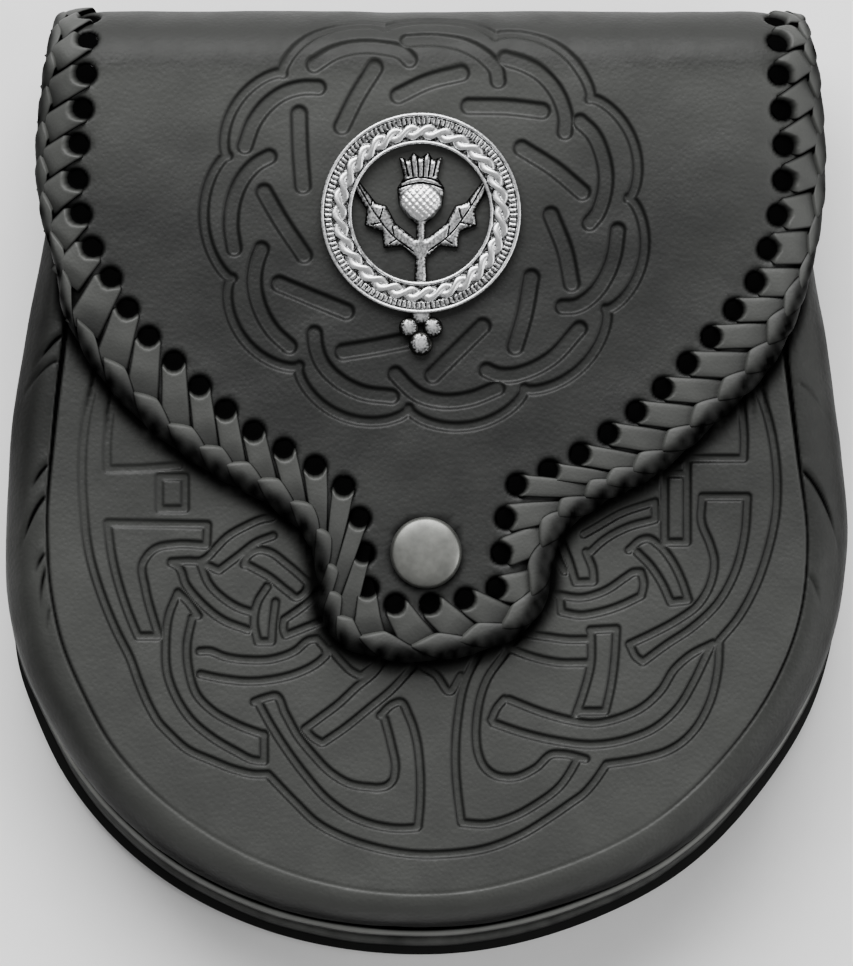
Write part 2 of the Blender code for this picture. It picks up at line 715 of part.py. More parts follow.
def make_flap_lacing():
    """The thong over the flap's edge: a band of stitches on both faces, and the braided rim between.

    The section goes round the leather's edge. Its inner ends reach to each hole and draw back between
    them, and it leans along the edge from the rim to the holes as the stitches do.
    """
    length = chord_length(edge_rows())
    at_holes = hole_lengths()
    between = (at_holes[1:] + at_holes[:-1]) / 2
    ends = [at_holes[0] - LACE_TAIL, at_holes[-1] + LACE_TAIL]
    where = np.sort(np.concatenate([at_holes, between, ends]))
    ridge = np.isin(where, at_holes).astype(float)
    hem = np.linalg.norm(np.subtract(*edge_at(where)), axis=1)
    reach = hem - HOLE_MARGIN - VALLEY_CUT * (1 - ridge)
    face = FLAP_WALL / 2 + LACE_GAP
    top = face + THONG + RIDGE * (ridge - 1)
    edge = np.full(len(where), RIM_OVERHANG - LACE_GAP)
    flat_face = np.full(len(where), face)
    under = RIDGE - top
    section = [
        (edge, flat_face),
        (reach, flat_face),
        (reach - STITCH_END, top),
        (edge + RIM_TUCK, top + RIM_SWELL),
        (0.0 * edge, RIM_FLAT * top),
        (0.0 * edge, -RIM_FLAT * top),
        (edge + RIM_TUCK, under),
        (reach - STITCH_END, under),
        (reach, -flat_face),
        (edge, -flat_face),
    ]
    rings = []
    for inwards, out in section:
        lean = STITCH_LEAN / MM * (1 - inwards / hem)
        rim, holes = edge_at(np.clip(where + lean, 0.0, length))
        across = (holes - rim) / np.linalg.norm(holes - rim, axis=1)[:, None]
        flat = rim + across * inwards[:, None]
        rings.append(bent(flat[:, 0], flat[:, 1], out))
    return lofted("flap_lacing", np.transpose(rings, (1, 0, 2)), closed=True)


# ---------------------------------------------------------------- metal


def make_snap_cap():
    """Domed cap on the tongue, with its shank through the leather and the socket below it."""
    under = FLAP_Z - FLAP_WALL / 2 - GAP
    over = FLAP_Z + FLAP_WALL / 2 + GAP
    recess = STUD_RADIUS + GAP
    dome = [(CAP_RADIUS * point.radius, over + CAP_HEIGHT * point.height) for point in CAP_DOME]
    profile = dome + [
        (SHANK_RADIUS, over),
        (SHANK_RADIUS, under),
        (SOCKET_RADIUS, under),
        (SOCKET_RADIUS, under - SOCKET_THICK),
        (recess, under - SOCKET_THICK),
        (recess, under + SOCKET_RECESS),
        (0.0, under + SOCKET_RECESS),
    ]
    cap = turned("snap_cap", profile, CAP_STEPS)
    cap.location = (*SNAP_AT, 0.0)
    return cap


def make_snap_stud():
    """Stud through the front panel, with its foot inside the pouch and its head in the socket."""
    head = FLAP_Z - FLAP_WALL / 2 - GAP + SOCKET_RECESS - GAP
    inside = FRONT_Z - PANEL_WALL - GAP
    profile = [
        (0.0, head),
        (STUD_RADIUS, head - STUD_TAPER),
        (STUD_RADIUS, FRONT_Z),
        (STUD_COLLAR, FRONT_Z - COLLAR_SUNK),
        (STUD_COLLAR, inside),
        (STUD_FOOT, inside),
        (STUD_FOOT, inside - STUD_FOOT_THICK),
        (0.0, inside - STUD_FOOT_THICK),
    ]
    stud = turned("snap_stud", profile, STUD_STEPS)
    stud.location = (*SNAP_AT, 0.0)
    return stud


def make_badge():
    """Flat ring with raised lips, a thistle pierced round inside it, a lobed drop, and two posts."""
    profile = [
        (RING_INNER, 0.0),
        (RING_INNER, RING_THICK),
        (RING_INNER + RING_LIP, RING_THICK),
        (RING_INNER + RING_LIP + LIP_SLANT, RING_THICK - RING_SUNK),
        (RING_OUTER - RING_LIP - LIP_SLANT, RING_THICK - RING_SUNK),
        (RING_OUTER - RING_LIP, RING_THICK),
        (RING_OUTER, RING_THICK),
        (RING_OUTER, 0.0),
        (RING_INNER, 0.0),
    ]
    ring = as_mesh(turned("badge", profile, RING_STEPS))
    right = [(point.x * MM, point.y * MM) for point in THISTLE_HALF]
    thistle = outline_curve("thistle", [right[::-1] + [(-x, y) for x, y in right[1:]]], MOTIF_THICK / 2)
    middle = MOTIF_LIFT + MOTIF_THICK / 2
    thistle.location = (0.0, 0.0, middle)
    pieces = [as_mesh(thistle)]
    turns = np.radians(HEAD_DEGREES)
    dome = [(HEAD_RADIUS * math.cos(turn), HEAD_RISE * math.sin(turn)) for turn in turns]
    boss = turned("thistle_head", [*dome, (0.0, 0.0)], HEAD_STEPS)
    boss.location = (0.0, HEAD_Y, middle)
    pieces.append(as_mesh(boss))
    for number, lobe in enumerate(DROP_LOBES):
        depth = MOTIF_THICK + number * LOBE_STEP
        bpy.ops.mesh.primitive_cylinder_add(vertices=LOBE_SIDES, radius=lobe.radius * MM, depth=depth)
        knob = bpy.context.object
        knob.location = (lobe.x * MM, lobe.y * MM, middle)
        knob.name = f"drop_lobe_{number}"
        pieces.append(knob)
    length = POST_RISE + GAP + FLAP_WALL + POST_BEYOND
    for side in (-1, 1):
        bpy.ops.mesh.primitive_cylinder_add(vertices=POST_SIDES, radius=POST_RADIUS, depth=length)
        post = bpy.context.object
        post.location = (side * POST_REACH, 0.0, POST_RISE - length / 2)
        post.name = "post"
        pieces.append(post)
    badge = joined(ring, pieces)
    badge.location = (*BADGE_AT, FLAP_Z + FLAP_WALL / 2 + GAP)
    return badge


# ---------------------------------------------------------------- strap loops


def make_strap_loop(name, x):
    """A leather strip with both ends on the back panel and its middle flat on the floor."""
    low, high = LOOP_SLOT
    under = [
        (low - LOOP_WALL - LOOP_FOOT, None),
        (low - LOOP_WALL, None),
        (low - LOOP_WALL, LOOP_CORNER),
        (low - LOOP_WALL + LOOP_CORNER, 0.0),
        (high + LOOP_WALL - LOOP_CORNER, 0.0),
        (high + LOOP_WALL, LOOP_CORNER),
        (high + LOOP_WALL, None),
        (high + LOOP_WALL + LOOP_FOOT, None),
    ]
    over = [
        (high + LOOP_WALL + LOOP_FOOT, 0.0),
        (high, 0.0),
        (high, None),
        (low, None),
        (low, 0.0),
        (low - LOOP_WALL - LOOP_FOOT, 0.0),
    ]
    outline = [(y, back_z(y) - GAP - LOOP_WALL if z is None else z) for y, z in under]
    outline += [(y, LOOP_WALL if z is None else back_z(y) - GAP) for y, z in over]
    loop = outline_curve(name, [outline], LOOP_WIDE / 2)
    loop.rotation_euler = (math.radians(90), 0.0, math.radians(90))
    loop.location = (x, 0.0, 0.0)
    return loop


# ---------------------------------------------------------------- materials and assembly

Finish = namedtuple("Finish", "colour roughness metallic")
BLACK_LEATHER = Finish((0.030, 0.031, 0.029), 0.42, 0.0)
EDGE_LEATHER = Finish((0.020, 0.021, 0.020), 0.50, 0.0)
SATIN_NICKEL = Finish((0.52, 0.52, 0.52), 0.38, 1.0)
ANTIQUE_SILVER = Finish((0.62, 0.62, 0.63), 0.30, 1.0)
DARK_STEEL = Finish((0.25, 0.25, 0.25), 0.45, 1.0)

PIECES = (
    (make_front_panel, BLACK_LEATHER),
    (make_front_welt, EDGE_LEATHER),
    (make_gusset, BLACK_LEATHER),
    (make_back_welt, EDGE_LEATHER),
    (make_back_panel, BLACK_LEATHER),
    (make_flap, BLACK_LEATHER),
    (make_flap_lacing, BLACK_LEATHER),
    (make_snap_cap, SATIN_NICKEL),
    (make_snap_stud, DARK_STEEL),
    (make_badge, ANTIQUE_SILVER),
    (lambda: make_strap_loop("strap_loop_left", -LOOP_X), BLACK_LEATHER),
    (lambda: make_strap_loop("strap_loop_right", LOOP_X), BLACK_LEATHER),
)


def painted(thing, finish):
    """Gives a piece its own material."""
    material = bpy.data.materials.new(thing.name)
    material.use_nodes = True
    shader = material.node_tree.nodes["Principled BSDF"]
    shader.inputs["Base Color"].default_value = (*finish.colour, 1.0)
    shader.inputs["Roughness"].default_value = finish.roughness
    shader.inputs["Metallic"].default_value = finish.metallic
    thing.data.materials.clear()
    thing.data.materials.append(material)


def main():
    """Clears the scene and builds every piece."""
    for old in list(bpy.data.objects):
        bpy.data.objects.remove(old)
    for name in (COLLECTION, COLLECTION + "_cutters"):
        bpy.context.scene.collection.children.link(bpy.data.collections.new(name))
    for make, finish in PIECES:
        piece = make()
        painted(piece, finish)


main()
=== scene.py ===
"""Looks of the day sporran pouch: tooled black leather, laced flap, domed snap and pierced badge.

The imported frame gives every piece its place. +Z points out of the front, +Y to the fold at the top
and +X to the right. Lengths are millimetres, and MM turns them to metres where a mesh is made.
"""
import math
from collections import namedtuple

import bpy
import numpy as np
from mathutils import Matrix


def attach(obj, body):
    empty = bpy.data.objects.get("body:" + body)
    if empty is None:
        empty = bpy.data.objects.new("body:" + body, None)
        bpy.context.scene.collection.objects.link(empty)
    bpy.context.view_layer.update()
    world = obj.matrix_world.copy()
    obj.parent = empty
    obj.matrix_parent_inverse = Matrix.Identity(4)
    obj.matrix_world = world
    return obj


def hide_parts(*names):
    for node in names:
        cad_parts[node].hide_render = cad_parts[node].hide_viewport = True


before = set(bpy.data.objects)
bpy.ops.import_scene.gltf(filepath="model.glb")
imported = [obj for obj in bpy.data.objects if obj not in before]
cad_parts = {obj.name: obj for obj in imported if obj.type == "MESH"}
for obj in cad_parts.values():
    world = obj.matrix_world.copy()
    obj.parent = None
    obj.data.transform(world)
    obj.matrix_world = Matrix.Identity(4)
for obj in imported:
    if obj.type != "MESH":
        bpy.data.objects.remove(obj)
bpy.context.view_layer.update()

MM = 0.001

# the photograph's height in pixels, and how much of the object one covers
PHOTO_HIGH = 966
PIXEL = 0.21

# body
FRONT_Z = 35.0  # flat tooled face
SEAM_Z = 25.5  # underside of the front panel's flange
BACK_RISE = 12.0  # how far the back panel rises from its bottom to its top
BOTTOM_Y = -100.2
TOP_Y = 100.2
MOUTH_Y = 80.0
GAP = 0.3  # between pieces that touch
PANEL_WALL = 2.2
GUSSET_WALL = 2.0
BACK_WALL = 2.4
BACK_TOP_Y = 84.0
BACK_TOP_HALF = 73.4
ROLL_DEPTH = 8.8  # how far the rounded border falls from crease to rim
ROLL_LENGTH = 14.0  # length of leather in the rounded border, from crease to rim
RIM_DROP = 0.7  # from the end of the round to the flange
FLANGE = 5.0
FRONT_WELT_RADIUS = 1.1
FRONT_WELT_INSET = 1.4
FRONT_WELT_FOLLOW = 0.73  # share of the rim's inset that the front welt follows
BACK_WELT_RADIUS = 1.3
BACK_WELT_INSET = 3.1
GUSSET_BULGE = 0.9
GUSSET_ROWS = 13
OUTLINE_STEP = 0.5  # spacing of the samples of the body's outline
CREASE_DEPTH = 0.55
CREASE_HALF = 0.62
RIM_TUCK = 0.14  # the rim draws in this share of its inset where the welt shows in front of it

# flap
FLAP_WALL = 2.4
FLAP_Z = 38.05  # middle of its leather over the front
FOLD_Y = 86.0  # where it begins to turn over the top,
FOLD_REACH = 12.2  # and how far beyond that its crest is
TAIL_Y = 67.5  # end of the flap on the back
TAIL_HALF = 66.0
TAIL_CORNER = 4.0
DROOP_START = 66.0  # the sides droop beyond this half width
DROOP_SPAN = 16.0
RIM_OVERHANG = 2.0  # braid outside the leather's edge
HOLE_RADIUS = 2.2
HOLE_COUNT = 51
CREST_AHEAD = 18.0  # from the fold's start to the row that shapes its crest
LACE_SHORT = 1.0  # the lacing ends this far before the fold does
THONG = 1.1  # thickness of the thong

# metal
SNAP_AT = (-0.1, -14.6)
SNAP_RADIUS = 7.5
BADGE_AT = (-1.2, 56.6)
BADGE_Z = FLAP_Z + FLAP_WALL / 2 + GAP

# The body's outline from the mouth on the left, round the bottom, to the mouth on the right. rim and
# back say how far the front rim and the back panel's edge lie inside it, and border is the width of
# the rounded border from rim to crease.
BodyRow = namedtuple("BodyRow", "x y rim back border")
BODY_ROWS = (
    BodyRow(-75.0, 80.0, 0.0, 1.0, 9.6),
    BodyRow(-78.4, 62.0, 0.0, 1.0, 9.2),
    BodyRow(-82.2, 42.5, 0.0, 1.0, 8.0),
    BodyRow(-85.0, 28.0, 0.0, 1.0, 8.6),
    BodyRow(-87.4, 10.5, 0.0, 1.0, 9.0),
    BodyRow(-88.5, -8.0, 0.0, 1.0, 8.8),
    BodyRow(-88.4, -25.0, 0.2, 0.7, 9.6),
    BodyRow(-86.6, -39.0, 1.5, 0.2, 9.8),
    BodyRow(-82.6, -50.0, 2.6, 0.0, 9.4),
    BodyRow(-76.8, -62.0, 3.6, 0.0, 9.2),
    BodyRow(-67.6, -74.0, 4.4, 0.0, 9.2),
    BodyRow(-55.1, -84.6, 4.8, 0.0, 9.4),
    BodyRow(-35.6, -94.4, 5.2, 0.0, 9.0),
    BodyRow(-12.7, -99.5, 5.6, 0.0, 8.2),
    BodyRow(9.3, -99.5, 5.6, 0.0, 8.2),
    BodyRow(33.3, -93.4, 5.2, 0.0, 8.6),
    BodyRow(55.0, -81.8, 4.2, 0.0, 8.8),
    BodyRow(70.9, -65.4, 3.2, 0.0, 8.4),
    BodyRow(81.8, -47.4, 2.0, 0.0, 8.2),
    BodyRow(87.0, -30.0, 0.6, 0.4, 8.2),
    BodyRow(88.7, -11.0, 0.0, 1.0, 8.7),
    BodyRow(87.3, 6.0, 0.0, 1.0, 9.2),
    BodyRow(84.8, 26.0, 0.0, 1.0, 9.2),
    BodyRow(81.9, 42.5, 0.0, 1.0, 8.4),
    BodyRow(78.4, 62.0, 0.0, 1.0, 9.2),
    BodyRow(75.0, 80.0, 0.0, 1.0, 9.6),
)

# Diagonal puckers of the border, charted: side, height where the fold leaves the crease, the
# shares of the way out to the rim from which and to which it runs, how much lower it ends, and depth.
Pucker = namedtuple("Pucker", "side y begin end drop depth")
PUCKERS = (
    Pucker(-1, 31.0, 0.00, 0.46, 7.8, 1.00),
    Pucker(-1, 25.4, 0.06, 0.62, 8.7, 0.65),
    Pucker(-1, 3.9, 0.00, 0.32, 6.3, 0.90),
    Pucker(-1, -2.7, 0.00, 0.46, 11.9, 1.00),
    Pucker(-1, -14.6, 0.00, 0.24, 4.8, 0.75),
    Pucker(-1, -17.4, 0.00, 0.22, 9.4, 0.75),
    Pucker(-1, -26.0, 0.02, 0.20, 6.0, 0.40),
    Pucker(1, 20.4, 0.14, 0.62, 9.0, 0.40),
    Pucker(1, 2.6, 0.00, 0.58, 17.6, 1.00),
    Pucker(1, -19.6, 0.03, 0.32, 6.2, 0.45),
)
PUCKER_WIDE = 0.48  # half width of a pucker's dark bottom
PUCKER_DEEP = 0.75

# Soft folds that hang in the front panel where the flap's corners press on it, charted from the
# flap's edge down to where they fade.
HANGING_FOLDS = (
    ((-68.2, 28.6), (-69.0, 24.7), (-70.7, 19.2), (-72.6, 12.4)),
    ((-64.4, 24.4), (-65.6, 20.2), (-67.0, 15.2), (-67.3, 9.0)),
    ((66.6, 27.0), (67.6, 22.0), (68.4, 17.0), (68.9, 13.0)),
    ((69.6, 26.0), (70.6, 21.0), (71.4, 16.0), (71.9, 11.0)),
)
FOLD_PARTS = 8  # each part of a hanging fold is shallower than the one above it

# The flap's laced edge on the flat pattern, from the left side, round the tongue, to the right side:
# the rim's outer line, and the line through the holes that belongs to it.
EdgeRow = namedtuple("EdgeRow", "x y hole_x hole_y")
EDGE_ROWS = (
    EdgeRow(-80.4, 84.0, -71.6, 84.0),
    EdgeRow(-81.6, 66.0, -73.2, 66.0),
    EdgeRow(-80.1, 53.6, -72.4, 55.6),
    EdgeRow(-77.8, 45.4, -69.8, 48.4),
    EdgeRow(-76.4, 36.5, -65.8, 42.0),
    EdgeRow(-72.2, 27.8, -61.8, 34.8),
    EdgeRow(-60.2, 13.2, -51.4, 23.8),
    EdgeRow(-44.8, 1.9, -38.2, 12.0),
    EdgeRow(-32.0, -5.4, -27.0, 5.2),
    EdgeRow(-25.2, -11.8, -17.6, -0.6),
    EdgeRow(-22.9, -19.4, -13.4, -10.0),
    EdgeRow(-22.4, -26.4, -13.2, -18.0),
    EdgeRow(-18.8, -33.2, -11.8, -23.6),
    EdgeRow(-10.4, -36.6, -7.2, -25.5),
    EdgeRow(0.0, -37.4, 0.0, -25.6),
    EdgeRow(11.0, -35.3, 7.8, -24.5),
    EdgeRow(20.8, -30.8, 14.4, -22.8),
    EdgeRow(25.4, -23.6, 15.7, -16.6),
    EdgeRow(26.4, -16.4, 16.4, -9.0),
    EdgeRow(29.0, -10.4, 18.8, -0.8),
    EdgeRow(36.2, -4.8, 28.0, 3.4),
    EdgeRow(47.6, 1.4, 39.8, 11.4),
    EdgeRow(61.0, 12.9, 52.3, 22.3),
    EdgeRow(72.8, 25.2, 63.4, 34.8),
    EdgeRow(77.8, 35.0, 69.2, 42.2),
    EdgeRow(80.6, 44.0, 72.0, 50.2),
    EdgeRow(82.6, 55.0, 74.2, 58.6),
    EdgeRow(83.3, 66.0, 74.9, 67.0),
    EdgeRow(82.3, 84.0, 74.0, 84.0),
)
Drawn = namedtuple("Drawn", "rim hole")
CREST_DRAWN = Drawn(2.4, 0.8)  # how far rim and holes draw inwards at the fold's crest
END_DRAWN = Drawn(4.2, 2.0)  # and at the lacing's ends on the back

# How far the flap's sides droop at the end of DROOP_SPAN, by height on the flat pattern.
DroopRow = namedtuple("DroopRow", "v droop")
DROOP_ROWS = (
    DroopRow(34.0, 0.0),
    DroopRow(44.0, 1.6),
    DroopRow(52.0, 4.0),
    DroopRow(62.0, 6.4),
    DroopRow(78.0, 6.4),
    DroopRow(94.0, 4.6),
    DroopRow(108.0, 2.4),
    DroopRow(128.0, 2.4),
)

# Knotwork pressed into the front panel, charted: each row is one pressed line on the flat
# face, and its points are joined by a smooth curve.
LEFT_KNOT = (
    ((-69.4, 22), (-71.3, 14.5), (-72.3, 5), (-72, -5), (-70.9, -14.5), (-68.1, -24), (-65.1, -31.2),
     (-62.2, -37), (-60.5, -41.7), (-58, -47.4), (-56.4, -50.1), (-53.9, -52.8), (-50.4, -55.9),
     (-45.2, -58.3), (-40, -60.3), (-36, -61.2), (-33.3, -61.2)),
    ((-33.3, -61.2), (-27.9, -66.8), (-22.9, -71.5), (-17.7, -74.3), (-10, -76.8), (-2.5, -78),
     (5, -77.9), (12.8, -76.7), (20.3, -73.7), (25.4, -70.6), (30.5, -67.1), (33, -65.3), (35, -63.1),
     (37.8, -59.1)),
    ((-65.4, 19.5), (-66.7, 12.5), (-67.1, 6), (-67, 2.9)),
    ((-67, 2.9), (-61, 3), (-52, 3.6)),
    ((-67, -8.4), (-56, -8.6), (-46, -8.8)),
    ((-46, -8.9), (-46.2, -13.1)),
    ((-67, -8.4), (-66, -15.8), (-64.2, -22.8), (-61.6, -29.9), (-60.6, -32.2)),
    ((-60.6, -32.2), (-56.2, -32.2)),
    ((-46.5, -13.1), (-52.5, -12.9), (-57.3, -14), (-59.6, -17), (-59.1, -22), (-57.4, -28.5),
     (-56.3, -31.9)),
    ((-53.6, -16.6), (-50, -16.4), (-47.5, -16.4), (-46, -15.6), (-44.6, -14.1), (-41.8, -11.3),
     (-38, -9.1), (-34.5, -7.6), (-32.5, -7.2)),
    ((-53.6, -16.8), (-52.2, -17.6), (-50.5, -21.4), (-47.9, -24.6), (-42.8, -28.8), (-37.5, -30.9)),
    ((-47.4, -17.2), (-45.7, -21.2), (-42.2, -24.6), (-39.3, -26.3), (-36.6, -27.2)),
    ((-46.3, -17.2), (-43.6, -18.4)),
    ((-43.6, -18.4), (-39.6, -15.4), (-35.7, -12.5), (-32.2, -11.1)),
    ((-38.3, -17.2), (-37.9, -15.8), (-36.9, -14.8), (-35.3, -14.1), (-33.6, -14.3), (-29.2, -17.2),
     (-25.2, -20.7)),
    ((-37.4, -17.3), (-33.1, -19.7), (-28.9, -23), (-27.2, -24.1), (-26.2, -23.6), (-25, -21.9),
     (-25, -20.8)),
    ((-33.4, -21.7), (-35.4, -24.9), (-36.2, -29.5), (-35.4, -33.4)),
    ((-35.4, -33.4), (-32.6, -33.4)),
    ((-31.7, -25), (-32.3, -30), (-32.5, -33.2)),
    ((-29.9, -28.7), (-30.1, -30.5), (-29.6, -32)),
    ((-29.9, -28.7), (-25.9, -25.9), (-22.4, -22.6)),
    ((-29.5, -32), (-26, -30.6), (-22, -29)),
    ((-47.6, -35.4), (-46, -35.3), (-42.1, -36.6), (-37.5, -37.2), (-32.4, -37), (-27.6, -35.3),
     (-24.6, -33), (-23, -32.7)),
    ((-22.6, -33.2), (-21.4, -34.6), (-20.9, -35.9)),
    ((-47.5, -40.2), (-42.5, -41.2), (-37.5, -41.7), (-32.4, -41.3), (-27.2, -40), (-22.5, -37.5),
     (-21, -36.1)),
    ((-52.2, -23), (-54, -27.4), (-54.8, -34), (-54.4, -40.2), (-52.4, -45.4), (-49.4, -49.8),
     (-45.3, -53.3), (-40.3, -56.3), (-36, -58.3), (-34.1, -58.4)),
    ((-52.2, -23), (-50.2, -24.9), (-48, -27.9)),
    ((-49.2, -28.3), (-50.3, -34), (-49.8, -40), (-48.3, -44.4), (-45.3, -47.6), (-40.2, -50.6),
     (-34, -53)),
    ((-34.1, -52.8), (-34.1, -58.5)),
    ((-36.2, -46), (-34.9, -45.5), (-33.3, -45), (-31.8, -44.7), (-29.7, -48.4), (-27, -53.2),
     (-24, -56.9), (-19.8, -61.1), (-16.1, -63.2), (-12, -63.9), (-10, -64), (-8.3, -63.6), (-7, -62.3),
     (-6.6, -60.5), (-7.5, -54.5), (-8.8, -49.6)),
    ((-35.2, -46.4), (-33, -50.4), (-29.1, -56.5), (-25.6, -61.2), (-20.6, -66.7), (-15.4, -70.2),
     (-10.2, -72), (-5, -72.6), (-2, -72.4)),
    ((-9.7, -48.9), (-7.1, -46.5), (-5.6, -46), (-3.7, -49), (-2.2, -53.6), (-1.4, -60), (-1.4, -68),
     (-1.8, -72.2)),
    ((-8.0, -35.5), (-11, -39.8), (-14.6, -42.8), (-18.6, -46.5), (-22.6, -49.5), (-25.6, -51.7)),
    ((-25.4, -51.9), (-24, -53.4), (-22, -54.6)),
    ((1.0, -34.5), (-3.4, -39.2), (-7.1, -43.2), (-12.1, -47.4), (-17.6, -51.8), (-21.6, -54.5)),
    ((-20, -35), (-17.8, -37.6), (-15.5, -39.7), (-13.8, -40.4), (-12.2, -39.4), (-10.8, -38.4)),
)
RIGHT_KNOT = (
    ((69.5, 20), (71.3, 15), (73.4, 4), (73.4, -6), (71.5, -15), (68.7, -22.6), (65.2, -28.7),
     (61.6, -33)),
    ((61.5, -33.3), (61.2, -39), (59.3, -46.6), (56, -52.2), (53.5, -54.6), (50.6, -56.3),
     (45.2, -57.9), (37.8, -59.1)),
    ((60.2, -33.7), (55.5, -36.1), (52.1, -39.1), (49.3, -43.5), (45.4, -47.1), (40.1, -49.5),
     (35, -50.5), (30.3, -49.9), (24.8, -48.4), (17.3, -45.5)),
    ((16.3, -45.4), (14.8, -47.2), (13.6, -49.8)),
    ((14, -50.4), (19.8, -52.4), (27.4, -54.2), (35, -55), (42.7, -53.7), (47.9, -51.5), (52.8, -47.2),
     (56.1, -41.8), (58.9, -36), (59.8, -34.2)),
    ((34.4, -30.9), (39.9, -30.6)),
    ((39.9, -30.8), (39.5, -37), (38.7, -43), (37.6, -47.8)),
    ((34.6, -31.2), (34.5, -38), (33, -44), (31.4, -48.6)),
    ((32.2, -48), (37.5, -48)),
    ((18.5, -31.3), (25, -32.3), (30, -32.9), (33.5, -32.9)),
    ((17, -34.6), (22.4, -36.6), (27.5, -37.7), (33.8, -37.8)),
    ((57.9, -3.2), (57.7, -8), (59.6, -13), (60.4, -16), (59.7, -21), (57, -25.6), (52.7, -28.8),
     (47.7, -31.5), (42.6, -33.9)),
    ((57.9, -2.9), (67.4, -2.9)),
    ((67.4, -3.2), (66.8, -11), (64.8, -18.7), (61.2, -25.2), (55.5, -30.6), (50.5, -33.9),
     (45.6, -37.5)),
    ((42.8, -34.2), (43.9, -36.4), (45.4, -37.6)),
    ((65.7, 20), (66.7, 9), (66.6, 5.1)),
    ((66.6, 5.1), (51, 5.1)),
    ((50, 1.9), (54.7, 1.9)),
    ((54.7, 4), (54.7, -12.5)),
    ((50, 1.9), (50, -12.5)),
    ((50, -12.5), (54.7, -12.5)),
    ((47.3, -4.2), (41, -6.3), (35.5, -9.4), (33, -10.8)),
    ((48, -4), (48.1, -7.6)),
    ((47.6, -7.8), (42, -9.4), (36.5, -12.6), (34.6, -14.4)),
    ((42.5, -14.1), (45.3, -11.9), (46.4, -11.7), (48.8, -13.1), (51.4, -16.2), (53.5, -20.3),
     (55, -24.6)),
    ((44.2, -14.5), (47.1, -17.5), (49.4, -21), (51.2, -24.9)),
    ((51.3, -25.1), (54.9, -24.7)),
    ((27.5, -23.5), (32.5, -24.1), (37.4, -22.7), (42, -19.7), (43.4, -18.8), (45, -18.7)),
    ((45.1, -18.9), (45.6, -21), (45.1, -23.7)),
    ((28.3, -27.1), (32.2, -27.8), (36.2, -27.2), (40.9, -25.7), (44.9, -23.8)),
    ((28.1, -24), (28.3, -27)),
    ((28.6, -13), (30.2, -17.2), (31.1, -20.3)),
    ((33.5, -14.5), (35, -18.6), (35.1, -20.7)),
    ((31.3, -20.9), (35, -20.8)),
    ((26.8, -13.5), (27.6, -16), (29, -18.6)),
    ((13.5, -31.5), (10.6, -36.5), (8.2, -41.5), (6.5, -50), (6.1, -60), (6.5, -65), (7.3, -71.2)),
    ((7.4, -71.4), (12.6, -71.7), (17.8, -70.3), (22.9, -67.6), (28.1, -63.6), (31, -59.3),
     (31.6, -58.2)),
    ((20.5, -30.0), (16.2, -36.2), (12.8, -41), (10.5, -50), (10.4, -53.5), (10.9, -57), (12.1, -59.6),
     (13.8, -61.1), (18, -61.9), (22.9, -59.9), (26.4, -57), (29.2, -57), (33.4, -58)),
    ((-3.6, -35.6), (-0.5, -38.8), (1.8, -40.2), (4.9, -43.8), (7.2, -40.5)),
)
SMALL_WINDOW = ((-56.1, 1.3), (-50.7, -5.5))  # two corners of the small rectangle on the left

# The interlaced ring on the flap, charted about RING_AT on the flat pattern. For each lobe:
# the angle of its first cusp anticlockwise from +X, the radius there, the radius of the lobe's
# crest, then angle and radius along its hooked slot and at the ends of its straight slot.
RING_AT = (-0.5, 56.9)
Lobe = namedtuple("Lobe", "cusp cusp_r crest_r hook bar")
RING_LOBES = (
    Lobe(3.7, 42.9, 46.2,
         ((-4, 34.8), (-1, 36.2), (4, 37.6), (10, 38.7), (18, 39.2), (25, 38.9), (30, 37.8)),
         ((7, 33.4), (18, 28.8), (33, 24.4))),
    Lobe(34.2, 42.0, 44.2,
         ((29.5, 33.9), (33, 35.4), (38, 36.7), (44, 37.6), (50, 37.8), (56, 37.2), (62, 36.2)),
         ((40.5, 32.5), (51, 28.2), (67, 24))),
    Lobe(67.9, 39.6, 41.6, ((60.5, 31.5), (63, 33.3), (68, 34.6), (76, 35.7), (86, 36.1), (95.5, 36)),
         ((75, 30), (88, 27.3), (102.5, 24.9))),
    Lobe(101.9, 40.0, 43.6, ((95.5, 31.8), (98, 33.4), (104, 35.2), (111, 36.9), (119, 38.1), (127, 38.4)),
         ((109, 31.8), (120, 28), (134, 24.8))),
    Lobe(135.7, 41.4, 45.4,
         ((130.5, 34.2), (134, 36.2), (139, 38.3), (145, 39.7), (152, 40.3), (160, 40)),
         ((142, 33.3), (153, 29.2), (168, 26))),
    Lobe(164.2, 42.8, 46.2,
         ((160.5, 34.5), (164, 36.5), (169, 38.4), (176, 39.9), (184, 40.6), (191, 40.6)),
         ((173, 33.8), (183, 30.3), (200, 26.8))),
    Lobe(199.2, 42.6, 46.4, ((193, 35), (196.5, 36.5), (202, 38.4), (210, 39.9), (218, 40.4), (225, 40)),
         ((206.5, 34), (217, 29.8), (232, 26.6))),
    Lobe(231.0, 41.6, 46.2, ((228, 34.4), (231.5, 36.4), (236, 38.3), (243, 39.7), (251, 40.1), (260, 39.4)),
         ((240, 34), (249, 30.5), (263, 27.2))),
    Lobe(265.5, 41.4, 46.0, ((260, 34.6), (264, 36.6), (268, 38.4), (275, 39.9), (284, 40.4), (292.5, 40.1)),
         ((273, 34.4), (283, 30.2), (297, 27))),
    Lobe(299.6, 42.6, 46.4, ((291.5, 35.8), (294, 37.4), (298, 38.9), (303, 39.9), (310, 40.7), (323, 40.8)),
         ((304, 34.2), (314, 30.3), (328.5, 26.4))),
    Lobe(331.8, 43.2, 47.0,
         ((325.5, 35.3), (328, 37.4), (333, 39.3), (340, 40.5), (347, 40.9), (354.5, 40.8)),
         ((334, 34.4), (344, 30.8), (358.5, 26.6))),
)

